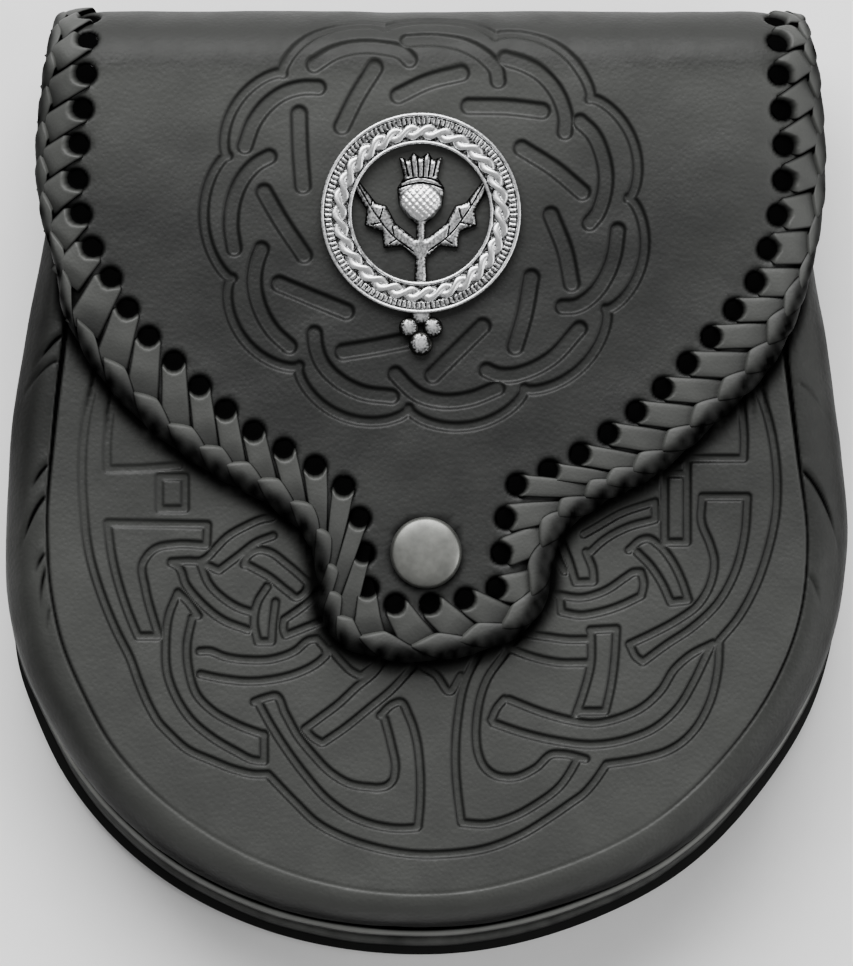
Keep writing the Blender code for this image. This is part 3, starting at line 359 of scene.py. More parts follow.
# Pressed lines: half width to the middle of the walls, width of a wall, and depth.
Groove = namedtuple("Groove", "half wall depth")
KNOT_LINE = Groove(0.78, 0.70, 0.55)
SCALLOP_LINE = Groove(0.94, 1.00, 0.60)
HOOK_SLOT = Groove(1.50, 1.05, 0.66)
BAR_SLOT = Groove(1.60, 1.10, 0.66)
HANGING_FOLD = Groove(0.55, 1.10, 0.55)


# ---------------------------------------------------------------- curves


def lengths_along(points):
    """How far along the line through the points each of them lies."""
    return np.concatenate([[0.0], np.cumsum(np.linalg.norm(np.diff(points, axis=0), axis=1))])


def smooth_rows(rows, where):
    """Rows read at lengths along the chords between their first two columns.

    Between two rows each column is the cubic h00*p0 + h10*m0 + h01*p1 + h11*m1, with the slopes m
    taken from the rows beside each row.
    """
    rows = np.array(rows, float)
    chord = lengths_along(rows[:, :2])
    slope = np.gradient(rows, chord, axis=0)
    k = np.clip(np.searchsorted(chord, where, side="right") - 1, 0, len(rows) - 2)
    span = (chord[k + 1] - chord[k])[..., None]
    t = (where - chord[k])[..., None] / span
    start = rows[k] * (1 + 2 * t) * (1 - t) ** 2 + slope[k] * span * t * (1 - t) ** 2
    end = rows[k + 1] * (3 - 2 * t) * t**2 - slope[k + 1] * span * (1 - t) * t**2
    return start + end


def chord_length(rows):
    """Sum of the distances between consecutive rows' first two columns."""
    rows = np.array(rows, float)
    return np.linalg.norm(np.diff(rows[:, :2], axis=0), axis=1).sum()


def through(points, step):
    """A smooth line through hand-charted points, sampled about `step` apart."""
    length = chord_length(points)
    return smooth_rows(points, np.linspace(0.0, length, int(length / step) + 2))


def unit(vectors):
    """Vectors divided by their lengths, v / |v|."""
    return vectors / np.linalg.norm(vectors, axis=-1, keepdims=True)


def eased(low, high, value):
    """Smoothstep: 3t^2 - 2t^3, where t runs from 0 at low to 1 at high."""
    t = np.clip((value - low) / (high - low), 0.0, 1.0)
    return t * t * (3 - 2 * t)


def waves(x, y, length, seed, count=7):
    """Gentle unevenness, mostly from -1 to 1, of plane waves sin(k.p + phase) about `length` long.

    Their sum is divided by the square root of their number.
    """
    draw = np.random.default_rng(seed)
    heading = draw.uniform(0, 2 * math.pi, count)
    number = 2 * math.pi / (length * draw.uniform(0.7, 1.5, count))
    phase = draw.uniform(0, 2 * math.pi, count)
    total = np.zeros(np.shape(x))
    for a, k, p in zip(heading, number, phase):
        total = total + np.sin(k * (np.cos(a) * x + np.sin(a) * y) + p)
    return total / math.sqrt(count)


# ---------------------------------------------------------------- meshes


SHARP_ANGLE = math.radians(62)  # an edge where faces turn by more than this stays sharp


def piece(name, points, faces, material, nodes=(), attributes=None):
    """Makes a smooth-shaded piece from points in mm and (loops, totals), riding on the root body.

    nodes are the CAD nodes that it stands for. attributes are values by name, one for each point.
    """
    loops, totals = faces
    mesh = bpy.data.meshes.new(name)
    mesh.vertices.add(len(points))
    mesh.vertices.foreach_set("co", (np.asarray(points) * MM).astype(np.float32).ravel())
    mesh.loops.add(len(loops))
    mesh.loops.foreach_set("vertex_index", np.asarray(loops, np.int32))
    mesh.polygons.add(len(totals))
    starts = np.concatenate([[0], np.cumsum(totals)[:-1]])
    mesh.polygons.foreach_set("loop_start", starts.astype(np.int32))
    mesh.update(calc_edges=True)
    mesh.validate()
    for key, values in (attributes or {}).items():
        mesh.attributes.new(key, "FLOAT", "POINT").data.foreach_set("value", values.astype(np.float32))
    mesh.set_sharp_from_angle(angle=SHARP_ANGLE)
    mesh.materials.append(material)
    made = bpy.data.objects.new(name, mesh)
    bpy.context.scene.collection.objects.link(made)
    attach(made, "root")
    if nodes:
        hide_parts(*nodes)
    return made


def grid_faces(rows, columns, round_rows=False, round_columns=False):
    """Quads of a grid of rows x columns points, (i, j) (i, j+1) (i+1, j+1) (i+1, j), closed if asked."""
    i = np.arange(rows if round_rows else rows - 1)[:, None]
    j = np.arange(columns if round_columns else columns - 1)[None, :]
    here = i * columns + j
    right = i * columns + (j + 1) % columns
    beyond = (i + 1) % rows * columns + (j + 1) % columns
    above = (i + 1) % rows * columns + j
    quads = np.stack([here, right, beyond, above], axis=-1).reshape(-1, 4)
    return quads.ravel(), np.full(len(quads), 4)


def gathered(parts):
    """Several (points, (loops, totals)) as one, with the later ones' point numbers moved up."""
    points, loops, totals, count = [], [], [], 0
    for own, (own_loops, own_totals) in parts:
        points.append(own)
        loops.append(own_loops + count)
        totals.append(own_totals)
        count += len(own)
    return np.concatenate(points), (np.concatenate(loops), np.concatenate(totals))


def turned_over(faces):
    """The same faces wound the other way round, so that they look to the other side."""
    loops, totals = faces
    starts = np.repeat(np.cumsum(totals) - totals, totals)
    place = np.arange(len(loops)) - starts
    return loops[starts + np.repeat(totals, totals) - 1 - place], totals


def tubes(section):
    """Closed tubes from sections of shape (count, along, sides, 3), with a single face at each end."""
    count, along, sides, _ = section.shape
    loops, totals = grid_faces(along, sides, round_columns=True)
    one = along * sides
    caps = np.concatenate([np.arange(sides)[::-1], one - sides + np.arange(sides)])
    loops = np.concatenate([loops, caps])
    totals = np.concatenate([totals, [sides, sides]])
    shift = np.repeat(np.arange(count) * one, len(loops))
    return section.reshape(-1, 3), (np.tile(loops, count) + shift, np.tile(totals, count))


# ---------------------------------------------------------------- refined sheets

LEVELS = 3  # squares are 1, 2, 4 or 8 lattice steps wide
SNAP = 0.2  # lattice points nearer than this to an edge move onto it
BATCH = 20000  # points whose nearest samples are looked for at a time


def coarser(mask):
    """One square for each 2 x 2 of the mask, true if any of the four is."""
    return mask.reshape(mask.shape[0] // 2, 2, mask.shape[1] // 2, 2).any(axis=(1, 3))


def finer(mask):
    """Each square of the mask as 2 x 2."""
    return mask.repeat(2, axis=0).repeat(2, axis=1)


def grown(mask):
    """The mask with the eight squares round each of its own."""
    wide = np.pad(mask, 1)
    high, broad = mask.shape
    return np.logical_or.reduce([wide[i:i + high, j:j + broad] for i in range(3) for j in range(3)])


def squares(needed):
    """Lattice column, row and width of each square of a sheet that is fine where it is needed.

    needed[l] marks the squares of 2**l steps that may not be wider. Going up, a square is split where
    a smaller one is needed in it or beside it, so that neighbours differ by one halving at most.
    """
    need = needed[0]
    split = np.zeros_like(need)
    found = []
    for level in range(LEVELS + 1):
        last = level == LEVELS
        whole = np.ones_like(split) if last else finer(coarser(need))
        i, j = np.nonzero(whole & ~split)
        size = 2**level
        found.append(np.stack([i * size, j * size, np.full(len(i), size)]))
        if not last:
            split = coarser(need)
            need = coarser(grown(whole)) | needed[level + 1]
    return np.concatenate(found, axis=1)


Skin = namedtuple("Skin", "flat at faces border")


def skin(low, step, needed, edge):
    """A flat sheet of squares cut to an outline, with more and smaller squares where needed.

    edge(flat) gives how far each point lies inside the leather and the nearest point of its edge.
    Points outside move onto the edge, and squares with no point inside are left out. A square beside
    smaller ones takes their corners on its sides as its own. `at` is each point's lattice place, and
    border lists the sheet's free edges with the leather on their left.
    """
    i, j, size = squares(needed)
    half = size // 2
    ring = np.array([
        (i, j), (i + half, j), (i + size, j), (i + size, j + half),
        (i + size, j + size), (i + half, j + size), (i, j + size), (i, j + half),
    ])
    used = np.zeros(np.array(needed[0].shape) + 1, bool)
    used[ring[::2, 0], ring[::2, 1]] = True
    there = used[ring[:, 0], ring[:, 1]]
    there[1::2] &= half > 0
    number = (np.cumsum(used) - 1).reshape(used.shape)[ring[:, 0], ring[:, 1]]
    at = np.argwhere(used)
    flat = np.array(low) + at * step
    inside, nearest = edge(flat)
    kept = inside > SNAP
    flat[~kept] = nearest[~kept]
    shown = (kept[number] & there).any(axis=0)
    totals = there[:, shown].sum(axis=0)
    loops = number[:, shown].T[there[:, shown].T]
    own, loops = np.unique(loops, return_inverse=True)
    starts = np.cumsum(totals) - totals
    after = np.roll(loops, -1)
    after[starts + totals - 1] = loops[starts]
    key = np.minimum(loops, after) * len(own) + np.maximum(loops, after)
    _, first, times = np.unique(key, return_index=True, return_counts=True)
    rim = first[times == 1]
    return Skin(flat[own], at[own], (loops, totals), np.column_stack([loops[rim], after[rim]]))


def pressed(shape, low, step, lines):
    """Height of a lattice after lines are pressed into it: -depth inside a line, eased over its walls.

    lines are (groove, samples). Around each sample the lattice points in reach take the deeper of
    what they have and -depth * (1 - smoothstep(half - wall/2, half + wall/2, distance)).
    """
    height = np.zeros(shape)
    for groove, samples in lines:
        reach = groove.half + groove.wall / 2
        span = np.arange(-math.ceil(reach / step), math.ceil(reach / step) + 1)
        window = np.stack(np.meshgrid(span, span, indexing="ij"), axis=-1).reshape(-1, 2)
        at = np.round((samples - low) / step).astype(int)[:, None] + window
        away = np.linalg.norm(at * step + low - samples[:, None], axis=-1)
        sunk = groove.depth * (1 - eased(groove.half - groove.wall / 2, reach, away))
        good = ((at >= 0) & (at < shape)).all(axis=-1)
        np.minimum.at(height, (at[good][:, 0], at[good][:, 1]), -sunk[good])
    return height


def uneven_squares(height, allowed):
    """Lattice squares whose corners differ in height by more than allowed, with those round them."""
    corners = np.stack([height[:-1, :-1], height[1:, :-1], height[:-1, 1:], height[1:, 1:]])
    return grown(np.ptp(corners, axis=0) > allowed)


def centres(low, step, counts, level):
    """Middles of all squares of one level, as two arrays of their x and y."""
    wide = step * 2**level
    x = low[0] + wide * (np.arange(counts[0] // 2**level) + 0.5)
    y = low[1] + wide * (np.arange(counts[1] // 2**level) + 0.5)
    return np.meshgrid(x, y, indexing="ij")


def sheet_of(upper, lower, place, top, bottom):
    """Two skins of one outline and the wall between their edges, as one closed piece of leather.

    place(flat, w) bends flat points that lie w above the leather's middle. The wall joins each free
    edge of the upper skin to the same edge at the lower height.
    """
    edge, wall = np.unique(upper.border, return_inverse=True)
    wall = wall.reshape(-1, 2)
    count = len(upper.flat)
    quads = np.column_stack([upper.border[:, 0], wall[:, 0] + count, wall[:, 1] + count, upper.border[:, 1]])
    skirt = place(upper.flat[edge], np.full(len(edge), bottom))
    points = np.concatenate([place(upper.flat, top), skirt])
    loops = np.concatenate([upper.faces[0], quads.ravel()])
    totals = np.concatenate([upper.faces[1], np.full(len(quads), 4)])
    under = place(lower.flat, np.full(len(lower.flat), bottom))
    return gathered([(points, (loops, totals)), (under, turned_over(lower.faces))])


def nearest_of(points, line):
    """Index of the sample of a line nearest to each point, worked out in batches."""
    line = line.astype(np.float32)
    found = []
    for batch in np.array_split(points.astype(np.float32), max(1, len(points) // BATCH)):
        gap = (line**2).sum(axis=1) - 2 * batch @ line.T
        found.append(np.argmin(gap, axis=1))
    return np.concatenate(found)


# ---------------------------------------------------------------- the body's shape

Outline = namedtuple("Outline", "points normals rim back border length")


def body_outline(step):
    """The body's outline at even steps: points, outward normals, the rows' other columns, and length."""
    fine = smooth_rows(BODY_ROWS, np.linspace(0.0, chord_length(BODY_ROWS), 4000))
    run = lengths_along(fine[:, :2])
    at = np.linspace(0.0, run[-1], int(run[-1] / step) + 1)
    rows = np.column_stack([np.interp(at, run, column) for column in fine.T])
    along = unit(np.gradient(rows[:, :2], axis=0))
    normals = np.column_stack([along[:, 1], -along[:, 0]])
    return Outline(rows[:, :2], normals, rows[:, 2], rows[:, 3], rows[:, 4], at)


BODY = body_outline(OUTLINE_STEP)
CREASE = BODY.points - BODY.normals * (BODY.rim + BODY.border)[:, None]


def back_z(y):
    """Height of the back panel's outer face above the floor, a plane that rises with y."""
    return BACK_RISE * (y - BOTTOM_Y) / (TOP_Y - BOTTOM_Y)


def unrolled(flat):
    """Where points of the front panel's pattern lie: sample of the crease, along it, and out of it.

    The nearest sample k gives out = (p - c).n and along = (p - c).t / (1 + curvature * out).
    """
    k = nearest_of(flat, CREASE)
    tangent = np.column_stack([-BODY.normals[:, 1], BODY.normals[:, 0]])
    away = flat - CREASE[k]
    out = (away * BODY.normals[k]).sum(axis=1)
    bend = np.linalg.norm(np.gradient(BODY.normals, axis=0), axis=1)
    stretch = np.linalg.norm(np.gradient(CREASE, axis=0), axis=1)
    along = (away * tangent[k]).sum(axis=1) / (stretch[k] + bend[k] * np.maximum(out, 0.0))
    return k + along, out


def read_at(column, station):
    """A column of the outline at fractional sample numbers, by linear interpolation."""
    k = np.clip(np.floor(station).astype(int), 0, len(column) - 2)
    t = station - k
    if column.ndim > 1:
        t = t[:, None]
    return column[k] * (1 - t) + column[k + 1] * t


def body_edge(flat):
    """How far pattern points lie inside the flange's edge or the mouth's, and the nearest edge point."""
    station, out = unrolled(flat)
    side = ROLL_LENGTH + RIM_DROP + FLANGE - out
    top = MOUTH_Y - flat[:, 1]
    to_side = flat + unit(read_at(BODY.normals, station)) * side[:, None]
    to_side[:, 1] = np.minimum(to_side[:, 1], MOUTH_Y)
    to_top = np.column_stack([flat[:, 0], np.full(len(flat), MOUTH_Y)])
    return np.minimum(side, top), np.where((side < top)[:, None], to_side, to_top)


def pucker_dents(y, side, across):
    """Depth of the border's folds and the painted shade in their bottoms.

    y is the height of the crease there, and across runs from 0 at the crease to 1 at the rim. A fold
    falls by drop * s^1.5 at the share s of its run, so its slope is 1.5 drop sqrt(s) / run and the
    distance across it is the drop / sqrt(1 + slope^2). With t = distance / width it is
    d (e^(-|t|) - 0.4 e^(-(t / 2 - 1.2)^2)) deep, and it fades over the second half of its run.
    """
    dents, dark = np.zeros(len(y)), np.zeros(len(y))
    for row in PUCKERS:
        run = np.clip((across - row.begin) / (row.end - row.begin), 0.0, 1.3)
        slope = 1.5 * row.drop * np.sqrt(run) / ((row.end - row.begin) * ROLL_LENGTH)
        t = (y - row.y + row.drop * run**1.5) / (PUCKER_WIDE * np.hypot(1.0, slope))
        fade = eased(-0.02, 0.03, across - row.begin) * (1 - eased(0.45, 1.1, run)) * (side == row.side)
        dents += row.depth * PUCKER_DEEP * fade * (np.exp(-np.abs(t)) - 0.4 * np.exp(-((t / 2 - 1.2) ** 2)))
        dark = np.maximum(dark, row.depth * fade * np.exp(-(t**2)))
    return dents, dark


def on_body(flat, relief=0.0, depth=0.0):
    """Points of the moulded front from its pattern, `depth` inside its outer face.

    Inside the crease the leather is flat. Beyond it, out / ROLL_LENGTH of a quarter turn gives the
    round: inset border * sin, fall ROLL_DEPTH * (1 - cos). Then it drops to the seam and turns in.
    """
    station, out = unrolled(flat)
    centre = read_at(CREASE, station)
    normal = unit(read_at(BODY.normals, station))
    border = read_at(BODY.border, station) - RIM_TUCK * read_at(BODY.rim, station)
    share = np.clip(out / ROLL_LENGTH, 0.0, 1.0)
    turn = share * math.pi / 2
    down = np.clip(out - ROLL_LENGTH, 0.0, RIM_DROP)
    inwards = np.maximum(out - ROLL_LENGTH - RIM_DROP, 0.0)
    reach = (border - depth + relief) * np.sin(turn) - inwards
    fall = ROLL_DEPTH - (ROLL_DEPTH - depth + relief) * np.cos(turn) + down - depth * (inwards > 0)
    rounded = np.column_stack([centre + normal * reach[:, None], FRONT_Z - fall])
    plain = np.column_stack([flat, np.full(len(flat), FRONT_Z - depth) + relief])
    return np.where((out > 0)[:, None], rounded, plain)


def wall_share(height, step, steep):
    """How much of a lattice's squares is wall: |slope of the height| / steep, from 0 to 1."""
    return np.clip(np.hypot(*np.gradient(height, step)) / steep, 0.0, 1.0)


def fading(points):
    """A hanging fold as pressed lines that get shallower by one part of FOLD_PARTS at a time."""
    samples = np.array_split(through(points, 0.12), FOLD_PARTS)
    shares = np.linspace(1.0, 0.1, FOLD_PARTS)
    return [(HANGING_FOLD._replace(depth=HANGING_FOLD.depth * share), own) for share, own in zip(shares, samples)]


def make_front_panel(material):
    """The tooled front: a sheet refined round its pressed lines, with its creased and puckered border."""
    low, step = np.array([-108.0, -120.4]), 0.3
    counts = (720, 696)
    lines = [(KNOT_LINE, through(line, 0.12)) for line in LEFT_KNOT + RIGHT_KNOT]
    (x0, y0), (x1, y1) = SMALL_WINDOW
    corners = ((x0, y0), (x1, y0), (x1, y1), (x0, y1), (x0, y0))
    lines += [(KNOT_LINE, through(side, 0.12)) for side in zip(corners, corners[1:])]
    tooling = pressed(np.array(counts) + 1, low, step, lines)
    x, y = np.meshgrid(*[low[a] + step * np.arange(counts[a] + 1) for a in (0, 1)], indexing="ij")
    tooling = tooling * (1 - 0.5 * eased(-44.0, -62.0, x) * eased(-22.0, 0.0, y))
    folds = pressed(np.array(counts) + 1, low, step, [part for line in HANGING_FOLDS for part in fading(line)])
    height = tooling + folds

    x, y = centres(low, step, counts, 1)
    middles = np.column_stack([x.ravel(), y.ravel()])
    station, out = unrolled(middles)
    across = np.clip(out / ROLL_LENGTH, 0.0, 1.0)
    folded = pucker_dents(read_at(CREASE, station)[:, 1], np.sign(middles[:, 0]), across)[1]
    sharp = (np.abs(out) < CREASE_HALF + 0.2) | ((folded > 0.06) & (out > 0) & (out < ROLL_LENGTH))
    rolled = (out > -1.5) & (out < ROLL_LENGTH + RIM_DROP + 1.0)
    sharp, rolled = sharp.reshape(x.shape), rolled.reshape(x.shape)
    none = [np.zeros((counts[0] // 2**level, counts[1] // 2**level), bool) for level in range(LEVELS + 1)]
    fine = [uneven_squares(height, 0.05) | finer(sharp), none[1], coarser(rolled), none[3]]
    upper = skin(low, step, fine, body_edge)
    lower = skin(low, step, [none[0], none[1], none[2], coarser(coarser(rolled))], body_edge)

    lattice = upper.at[:, 0], upper.at[:, 1]
    station, out = unrolled(upper.flat)
    crease_y = read_at(CREASE, station)[:, 1]
    upright = eased(0.55, 0.95, np.abs(unit(read_at(BODY.normals, station))[:, 0]))
    across = np.clip(out / ROLL_LENGTH, 0.0, 1.0)
    dents, dark = pucker_dents(crease_y, np.sign(upper.flat[:, 0]), across)
    under_flap = eased(-10.0, 26.0, crease_y)
    line = 1 - eased(0.0, CREASE_HALF * (1 + 0.4 * under_flap), np.abs(out))
    swell = 0.10 * waves(*upper.flat.T, 26, 3) + 0.05 * waves(*upper.flat.T, 9, 4)
    creased = CREASE_DEPTH * (0.35 + 0.65 * upright + under_flap) * line
    relief = height[lattice] - creased + swell - dents * eased(0.0, 0.08, across)
    # from_flap sets a painted shadow of the flap on the panel, fading out a few mm beyond the braid's outer line.
    from_flap = -rim_distance(upper.flat) - RIM_OVERHANG
    right = upper.flat[:, 0] > 0
    # Painted shade over the rounded border, darker towards the rim; each side has its own and the bottom is plainer.
    left_painted_shade = 0.18 + 0.28 * eased(0.18, 0.42, across) + 0.22 * eased(0.5, 0.8, across)
    left_painted_shade = left_painted_shade + 0.24 * eased(-14.0, 14.0, crease_y)
    right_painted_shade = 0.36 + 0.36 * eased(0.45, 0.70, across) + 0.15 * eased(0.75, 0.95, across)
    side_painted_shade = np.where(right, right_painted_shade, left_painted_shade) * eased(0.0, 0.06, across)
    low_painted_shade = 0.95 * eased(0.36, 0.70, across)
    outer_painted_shade = low_painted_shade + (side_painted_shade - low_painted_shade) * upright
    # Painted shade with some tool burnish: groove walls (partly burnish), groove floors a little, hanging folds, the
    # crease, pucker bottoms, the outer border, and the flap's painted shadow.
    burnish_and_painted_shade = np.maximum.reduce([
        0.88 * wall_share(tooling, step, 1.0)[lattice], -0.16 * tooling[lattice] / KNOT_LINE.depth,
        -1.4 * folds[lattice] / HANGING_FOLD.depth, line * (upright + under_flap),
        1.4 * dark * eased(0.0, 0.08, across), outer_painted_shade, 0.97 * (1 - eased(0.5, 3.9, from_flap)),
    ])
    # Painted light and random tone: slow random waves, a painted highlight on the crease and the rounded border along
    # the bottom, and painted shade at the panel's upper right and upper left.
    wear_and_painted_light = 0.76 + 0.1 * waves(*upper.flat.T, 60, 31) + (0.6 * line + 0.5 * eased(0.0, 0.1, across)) * (1 - upright)
    wear_and_painted_light = wear_and_painted_light - 0.3 * eased(20.0, 60.0, upper.flat[:, 0]) * eased(-28.0, 4.0, upper.flat[:, 1])
    wear_and_painted_light = wear_and_painted_light - 0.35 * eased(-40.0, -62.0, upper.flat[:, 0]) * eased(-22.0, 2.0, upper.flat[:, 1])

    def place(flat, w):
        return on_body(flat, relief if len(flat) == len(relief) else 0.0, np.where(w < 0, PANEL_WALL, 0.0))

    points, faces = sheet_of(upper, lower, place, np.zeros(len(upper.flat)), -1.0)
    shades = {"dye_and_painted_shade": padded(burnish_and_painted_shade, len(points)), "wear_and_painted_light": padded(wear_and_painted_light, len(points))}
    return piece("front_panel_leather", points, faces, material, ["front_panel"], shades)


def padded(values, count):
    """Values from 0 to 1 for the first points of a piece, and 0 for the rest of them."""
    whole = np.zeros(count)
    whole[:len(values)] = np.clip(values, 0.0, 1.0)
    return whole


def band(rows):
    """A closed sheet from rings of an open section: rows[r, n] are section points r at stations n."""
    return tubes(np.transpose(np.asarray(rows), (1, 0, 2))[None])


def at_inset(inset, z):
    """Body outline points moved inwards by an inset, at a height."""
    flat = BODY.points - BODY.normals * np.broadcast_to(inset, len(BODY.points))[:, None]
    return np.column_stack([flat, np.broadcast_to(z, len(flat))])


def on_back(inset, rise):
    """Body outline points moved inwards by an inset, that far above the back panel's inner face."""
    ring = at_inset(inset, 0.0)
    ring[:, 2] = back_z(ring[:, 1]) + BACK_WALL + rise
    return ring


def bead(line, radius, sides, highlight_at, highlight_from):
    """A round bead along a line: p + r (cos a * n + sin a * z), and its painted highlight at each point.

    The highlight is painted where the cosine of the turn from the highlight's angle is over the given share.
    """
    turn = np.arange(sides) * 2 * math.pi / sides
    run = lengths_along(line)
    size = radius * (1 + 0.05 * waves(run, 0 * run, 11, 21))
    out = np.column_stack([BODY.normals, np.zeros(len(line))])[:, None]
    section = line[:, None] + size[:, None, None] * (
        np.cos(turn)[None, :, None] * out + np.sin(turn)[None, :, None] * np.array([0.0, 0.0, 1.0]))
    return *tubes(section[None]), np.tile(eased(highlight_from, 1.0, np.cos(turn - highlight_at)), len(line))


def make_seams(material):
    """The two welts: round beads in the seams in front of and behind the gusset."""
    inset = FRONT_WELT_INSET + FRONT_WELT_FOLLOW * BODY.rim
    front = at_inset(inset, SEAM_Z - GAP - FRONT_WELT_RADIUS)
    back = on_back(BACK_WELT_INSET, GAP + BACK_WELT_RADIUS)
    for name, line, radius, highlight_at, highlight_from, wear_and_highlight in (
            ("front_welt", front, FRONT_WELT_RADIUS, math.radians(70), 0.75, 1.0),
            ("back_welt", back, BACK_WELT_RADIUS, math.radians(90), 0.3, 0.25)):
        points, faces, top = bead(line, radius, 16, highlight_at, highlight_from)
        # Painted highlight along each bead's top and painted shade over the rest of it; the back welt's highlight is
        # weaker.
        shades = {"dye_and_painted_shade": 0.95 * (1 - top), "wear_and_painted_light": wear_and_highlight * top}
        piece(name + "_leather", points, faces, material, [name], shades)


def make_gusset(material):
    """Side wall between the welts: inset and height eased from back to front, with a soft bulge."""
    front = FRONT_WELT_INSET + FRONT_WELT_FOLLOW * BODY.rim + FRONT_WELT_RADIUS + GAP
    back = BACK_WELT_INSET + BACK_WELT_RADIUS + GAP
    low, high = on_back(back, GAP)[:, 2], SEAM_Z - GAP
    run = BODY.length
    outer, inner = [], []
    for t in np.linspace(0.0, 1.0, GUSSET_ROWS):
        bulge = GUSSET_BULGE * math.sin(math.pi * t) ** 0.8
        folds = 0.22 * math.sin(math.pi * t) * waves(run, 40 * t, 17, 5)
        inset = back + (front - back) * t - bulge - folds
        z = low + (high - low) * t
        outer.append(at_inset(inset, z))
        inner.append(at_inset(inset + GUSSET_WALL, z))
    points, faces = band(outer + inner[::-1])
    # Painted shade on the gusset, darker towards each welt's seam, over a flat tone.
    to_seam = np.concatenate([np.abs(np.linspace(-1.0, 1.0, GUSSET_ROWS)), np.ones(GUSSET_ROWS)])
    shades = {"dye_and_painted_shade": np.tile(0.35 + 0.55 * to_seam**3, len(run)), "wear_and_painted_light": np.full(len(points), 0.3)}
    piece("gusset_leather", points, faces, material, ["gusset"], shades)


def make_back_panel(material):
    """Plain back: a sloping sheet from the outline's edge, straight across its top."""
    edge = BODY.points - BODY.normals * BODY.back[:, None]
    outline = np.concatenate([[(-BACK_TOP_HALF, BACK_TOP_Y)], edge[::2], [(BACK_TOP_HALF, BACK_TOP_Y)]])
    middle = np.array([0.0, 6.0])
    shares = np.array([1.0, 0.985, 0.96, 0.9, 0.75, 0.5, 0.25, 0.1])
    soft = np.array([0.5, 0.14, 0.0, 0.0, 0.0, 0.0, 0.0, 0.0])  # the cut edge is rubbed round
    rings = middle + (outline - middle)[None] * shares[:, None, None]
    rise = 0.12 * waves(rings[..., 0], rings[..., 1], 45, 8) * eased(1.0, 0.75, shares)[:, None]
    under = np.dstack([rings, back_z(rings[..., 1]) + soft[:, None] + rise])
    over = np.dstack([rings, back_z(rings[..., 1]) + BACK_WALL - soft[:, None]])
    rows = np.concatenate([over[::-1], under])
    points, faces = tubes(rows[None])
    wear_and_highlight = 0.25 + 0.12 * waves(points[:, 0], points[:, 1], 50, 41)
    dyed_edge = 0.6 * eased(0.9, 0.98, np.concatenate([shares[::-1], shares]))
    shades = {"dye_and_painted_shade": np.repeat(dyed_edge, len(outline)), "wear_and_painted_light": wear_and_highlight}
    piece("back_panel_leather", points, turned_over(faces), material, ["back_panel"], shades)


# ---------------------------------------------------------------- the flap's shape


def fold_line():
    """The flap's middle line over the top: length v along it, then y, z and the outward normal."""
    tail_z = back_z(FOLD_Y) - GAP - FLAP_WALL / 2
    half = (FLAP_Z - tail_z) / 2
    turn = np.linspace(0.0, math.pi, 400)
    y = FOLD_Y + FOLD_REACH * np.sin(turn)
    z = tail_z + half + half * np.cos(turn)
    v = FOLD_Y + np.concatenate([[0.0], np.cumsum(np.hypot(np.diff(y), np.diff(z)))])
    normal = unit(np.column_stack([np.sin(turn) * half, np.cos(turn) * FOLD_REACH]))
    return v, y, z, normal[:, 0], normal[:, 1]


FOLD = fold_line()
FOLD_END = FOLD[0][-1]


def bent(x, v, w):
    """Points of the bent flap from its flat pattern: across, along, and out of the leather's middle.

    It follows the fold's line and then runs down the back panel's slope. Its sides droop by
    most * s^2, where s = (|x| - DROOP_START) / DROOP_SPAN.
    """
    tail = np.maximum(v - FOLD_END, 0.0)
    slope = math.atan2(BACK_RISE, TOP_Y - BOTTOM_Y)
    y = np.where(v < FOLD_Y, v, np.interp(v, FOLD[0], FOLD[1])) - tail * math.cos(slope)
    z = np.interp(v, FOLD[0], FOLD[2]) - tail * math.sin(slope)
    normal_y = np.where(tail > 0, math.sin(slope), np.interp(v, FOLD[0], FOLD[3]))
    normal_z = np.where(tail > 0, -math.cos(slope), np.interp(v, FOLD[0], FOLD[4]))
    most = np.interp(v, [row.v for row in DROOP_ROWS], [row.droop for row in DROOP_ROWS])
    beyond = np.maximum(np.abs(x) - DROOP_START, 0.0) / DROOP_SPAN
    lean = np.arctan(2 * most * beyond / DROOP_SPAN) * np.sign(x)
    rise = w * np.cos(lean) - most * beyond**2
    return np.stack([x + w * np.sin(lean), y + rise * normal_y, z + rise * normal_z], axis=-1)


def edge_rows():
    """EDGE_ROWS with the fold's rows added at both ends, so that the lacing runs over the top."""
    left, right = EDGE_ROWS[0], EDGE_ROWS[-1]
    over = ((FOLD_Y + CREST_AHEAD, CREST_DRAWN), (FOLD_END - LACE_SHORT, END_DRAWN))
    head = [EdgeRow(left.x + by.rim, v, left.hole_x + by.hole, v) for v, by in reversed(over)]
    foot = [EdgeRow(right.x - by.rim, v, right.hole_x - by.hole, v) for v, by in over]
    return (*head, *EDGE_ROWS, *foot)


LACED = edge_rows()
LACED_LENGTH = chord_length(LACED)


def edge_at(where):
    """The rim's line and the hole line on the pattern at chord lengths, also for arrays of them."""
    rows = smooth_rows(LACED, np.clip(where, 0.0, LACED_LENGTH))
    return rows[..., :2], rows[..., 2:]


def hole_lengths(numbers):
    """Chord lengths at hole numbers, whole or not, spaced evenly along the line of holes."""
    fine = np.linspace(0.0, LACED_LENGTH, 3000)
    holes = edge_at(fine)[1]
    run = lengths_along(holes)
    return np.interp((np.asarray(numbers) + 0.5) / HOLE_COUNT * run[-1], run, fine)


HOLES = edge_at(hole_lengths(np.arange(HOLE_COUNT)))[1]


